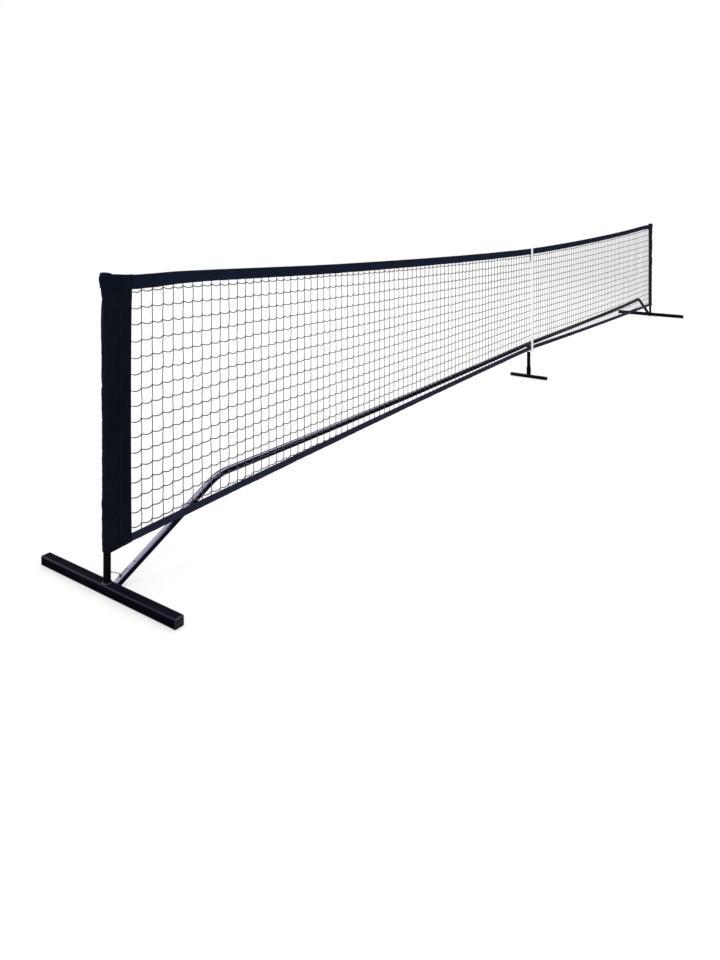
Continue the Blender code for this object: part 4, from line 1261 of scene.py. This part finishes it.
def tether_knot(place, word):
    spine = np.array([-1.0, -0.5, 0.0, 0.5, 1.0])[:, None] * np.array([0.0, 0.3, 1.0]) * 0.0024
    loop = Skin()
    loop.tube(place + spine, np.array([0.3, 0.9, 1.1, 0.9, 0.3]) * 0.0021, (1, 0, 0), 8)
    loop.piece(f"{word}_tether_knot", ELASTIC, "posts", "grey_cord")


# Studio


def build_floor():
    mesh = bpy.data.meshes.new("floor")
    corners = [(-1, -1), (1, -1), (1, 1), (-1, 1)]
    mesh.from_pydata([(x * FLOOR_REACH, y * FLOOR_REACH, -0.0005) for x, y in corners], [], [(0, 1, 2, 3)])
    mesh.materials.append(floor_finish())
    floor = bpy.data.objects.new("floor", mesh)
    bpy.context.scene.collection.objects.link(floor)
    floor.visible_glossy = False


def glow(g, direction, centre, edge, full):
    """A soft patch of light: 1 near a direction and 0 away from it."""
    middle_way = g.add("ShaderNodeVectorMath", {0: direction}, operation="DOT_PRODUCT")
    middle_way.inputs[1].default_value = Vector(centre).normalized()
    inputs = {0: middle_way.outputs["Value"], 1: edge, 2: full}
    return g.add("ShaderNodeMapRange", inputs, interpolation_type="SMOOTHSTEP").outputs[0]


def build_world():
    """White all round for the camera; shiny surfaces see a dark room with a big softbox overhead."""
    world = bpy.data.worlds.new("studio")
    bpy.context.scene.world = world
    world.cycles.sampling_method = "NONE"  # so that each ray finds its own part of the light
    world.use_nodes = True
    g = Graph.of_tree(world.node_tree)
    rays = g.add("ShaderNodeLightPath").outputs
    way = g.add("ShaderNodeTexCoord").outputs["Generated"]
    open_sky = g.math("SUBTRACT", 1.0, glow(g, way, *FLAG))
    box = g.math("MULTIPLY", glow(g, way, *SOFTBOX), open_sky)
    level = g.math("MULTIPLY_ADD", box, SOFTBOX_LEVEL, ROOM_LEVEL)
    shine = g.add("ShaderNodeBackground", {"Color": SOFTBOX_TINT, "Strength": level})
    soft = g.add("ShaderNodeBackground", {"Color": (1.0, 1.0, 1.0), "Strength": DOME_LEVEL})
    seen = g.add("ShaderNodeBackground", {"Color": (1.0, 1.0, 1.0), "Strength": 1.0})
    inner = g.add("ShaderNodeMixShader", {0: rays["Is Glossy Ray"], 1: soft.outputs[0], 2: shine.outputs[0]})
    outer = g.add("ShaderNodeMixShader", {0: rays["Is Camera Ray"], 1: inner.outputs[0], 2: seen.outputs[0]})
    g.put(g.tree.nodes["World Output"].inputs["Surface"], outer.outputs[0])


def area_light(name, place, aim, size, power):
    light = bpy.data.lights.new(name, "AREA")
    light.size = size
    light.energy = power
    lamp = bpy.data.objects.new(name, light)
    lamp.location = place
    lamp.rotation_euler = (Vector(aim) - Vector(place)).to_track_quat("-Z", "Y").to_euler()
    lamp.visible_glossy = False
    bpy.context.scene.collection.objects.link(lamp)


def build_lights():
    """A wide overhead bank that keeps the floor white, a key from the front left and a fill behind."""
    area_light("overhead_bank", (0.0, -0.5, 6.5), (0, 0, 0), size=9.0, power=150.0)
    area_light("front_key", (-6.0, -5.5, 3.6), (-1.5, 0, 0.5), size=3.2, power=60.0)
    area_light("back_fill", (3.5, 6.0, 3.2), (0.5, 0, 0.5), size=3.5, power=30.0)


def shift_only_here(camera, station, axis, value):
    """The lens shift belongs to this standpoint, so it fades out when the camera moves elsewhere."""
    curve = camera.data.driver_add(axis)
    for modifier in list(curve.modifiers):
        curve.modifiers.remove(modifier)
    curve.driver.type = "AVERAGE"
    reading = curve.driver.variables.new()
    reading.type = "LOC_DIFF"
    reading.targets[0].id = camera
    reading.targets[1].id = station
    curve.keyframe_points.insert(0.0, value)
    curve.keyframe_points.insert(SHIFT_REACH, 0.0)


def build_camera():
    lens = bpy.data.cameras.new("view_camera")
    lens.lens = FOCAL_LENGTH
    lens.clip_start = 0.05
    lens.clip_end = 300.0
    camera = bpy.data.objects.new("view_camera", lens)
    camera.location = CAMERA_PLACE
    camera.rotation_euler = (math.pi / 2, 0.0, CAMERA_TURN)
    bpy.context.scene.collection.objects.link(camera)
    station = bpy.data.objects.new("camera_station", None)
    station.location = CAMERA_PLACE
    bpy.context.scene.collection.objects.link(station)
    shift_only_here(camera, station, "shift_x", LENS_SHIFT[0])
    shift_only_here(camera, station, "shift_y", LENS_SHIFT[1])
    bpy.context.scene.camera = camera


finish_cad_nodes()
knots = net_knots()
net_half("net_twine_left", knots, -1)
net_half("net_twine_right", knots, 1)
build_band()
build_tape()
build_tension_cord()
for side, word in SIDES:
    build_sleeve(side, word)
    build_pocket(side, word, 91 + side)
    build_tether(side, word)
build_strap()
build_anchor()
build_welds()
build_floor()
build_world()
build_lights()
build_camera()
bpy.context.scene.view_settings.view_transform = "Standard"
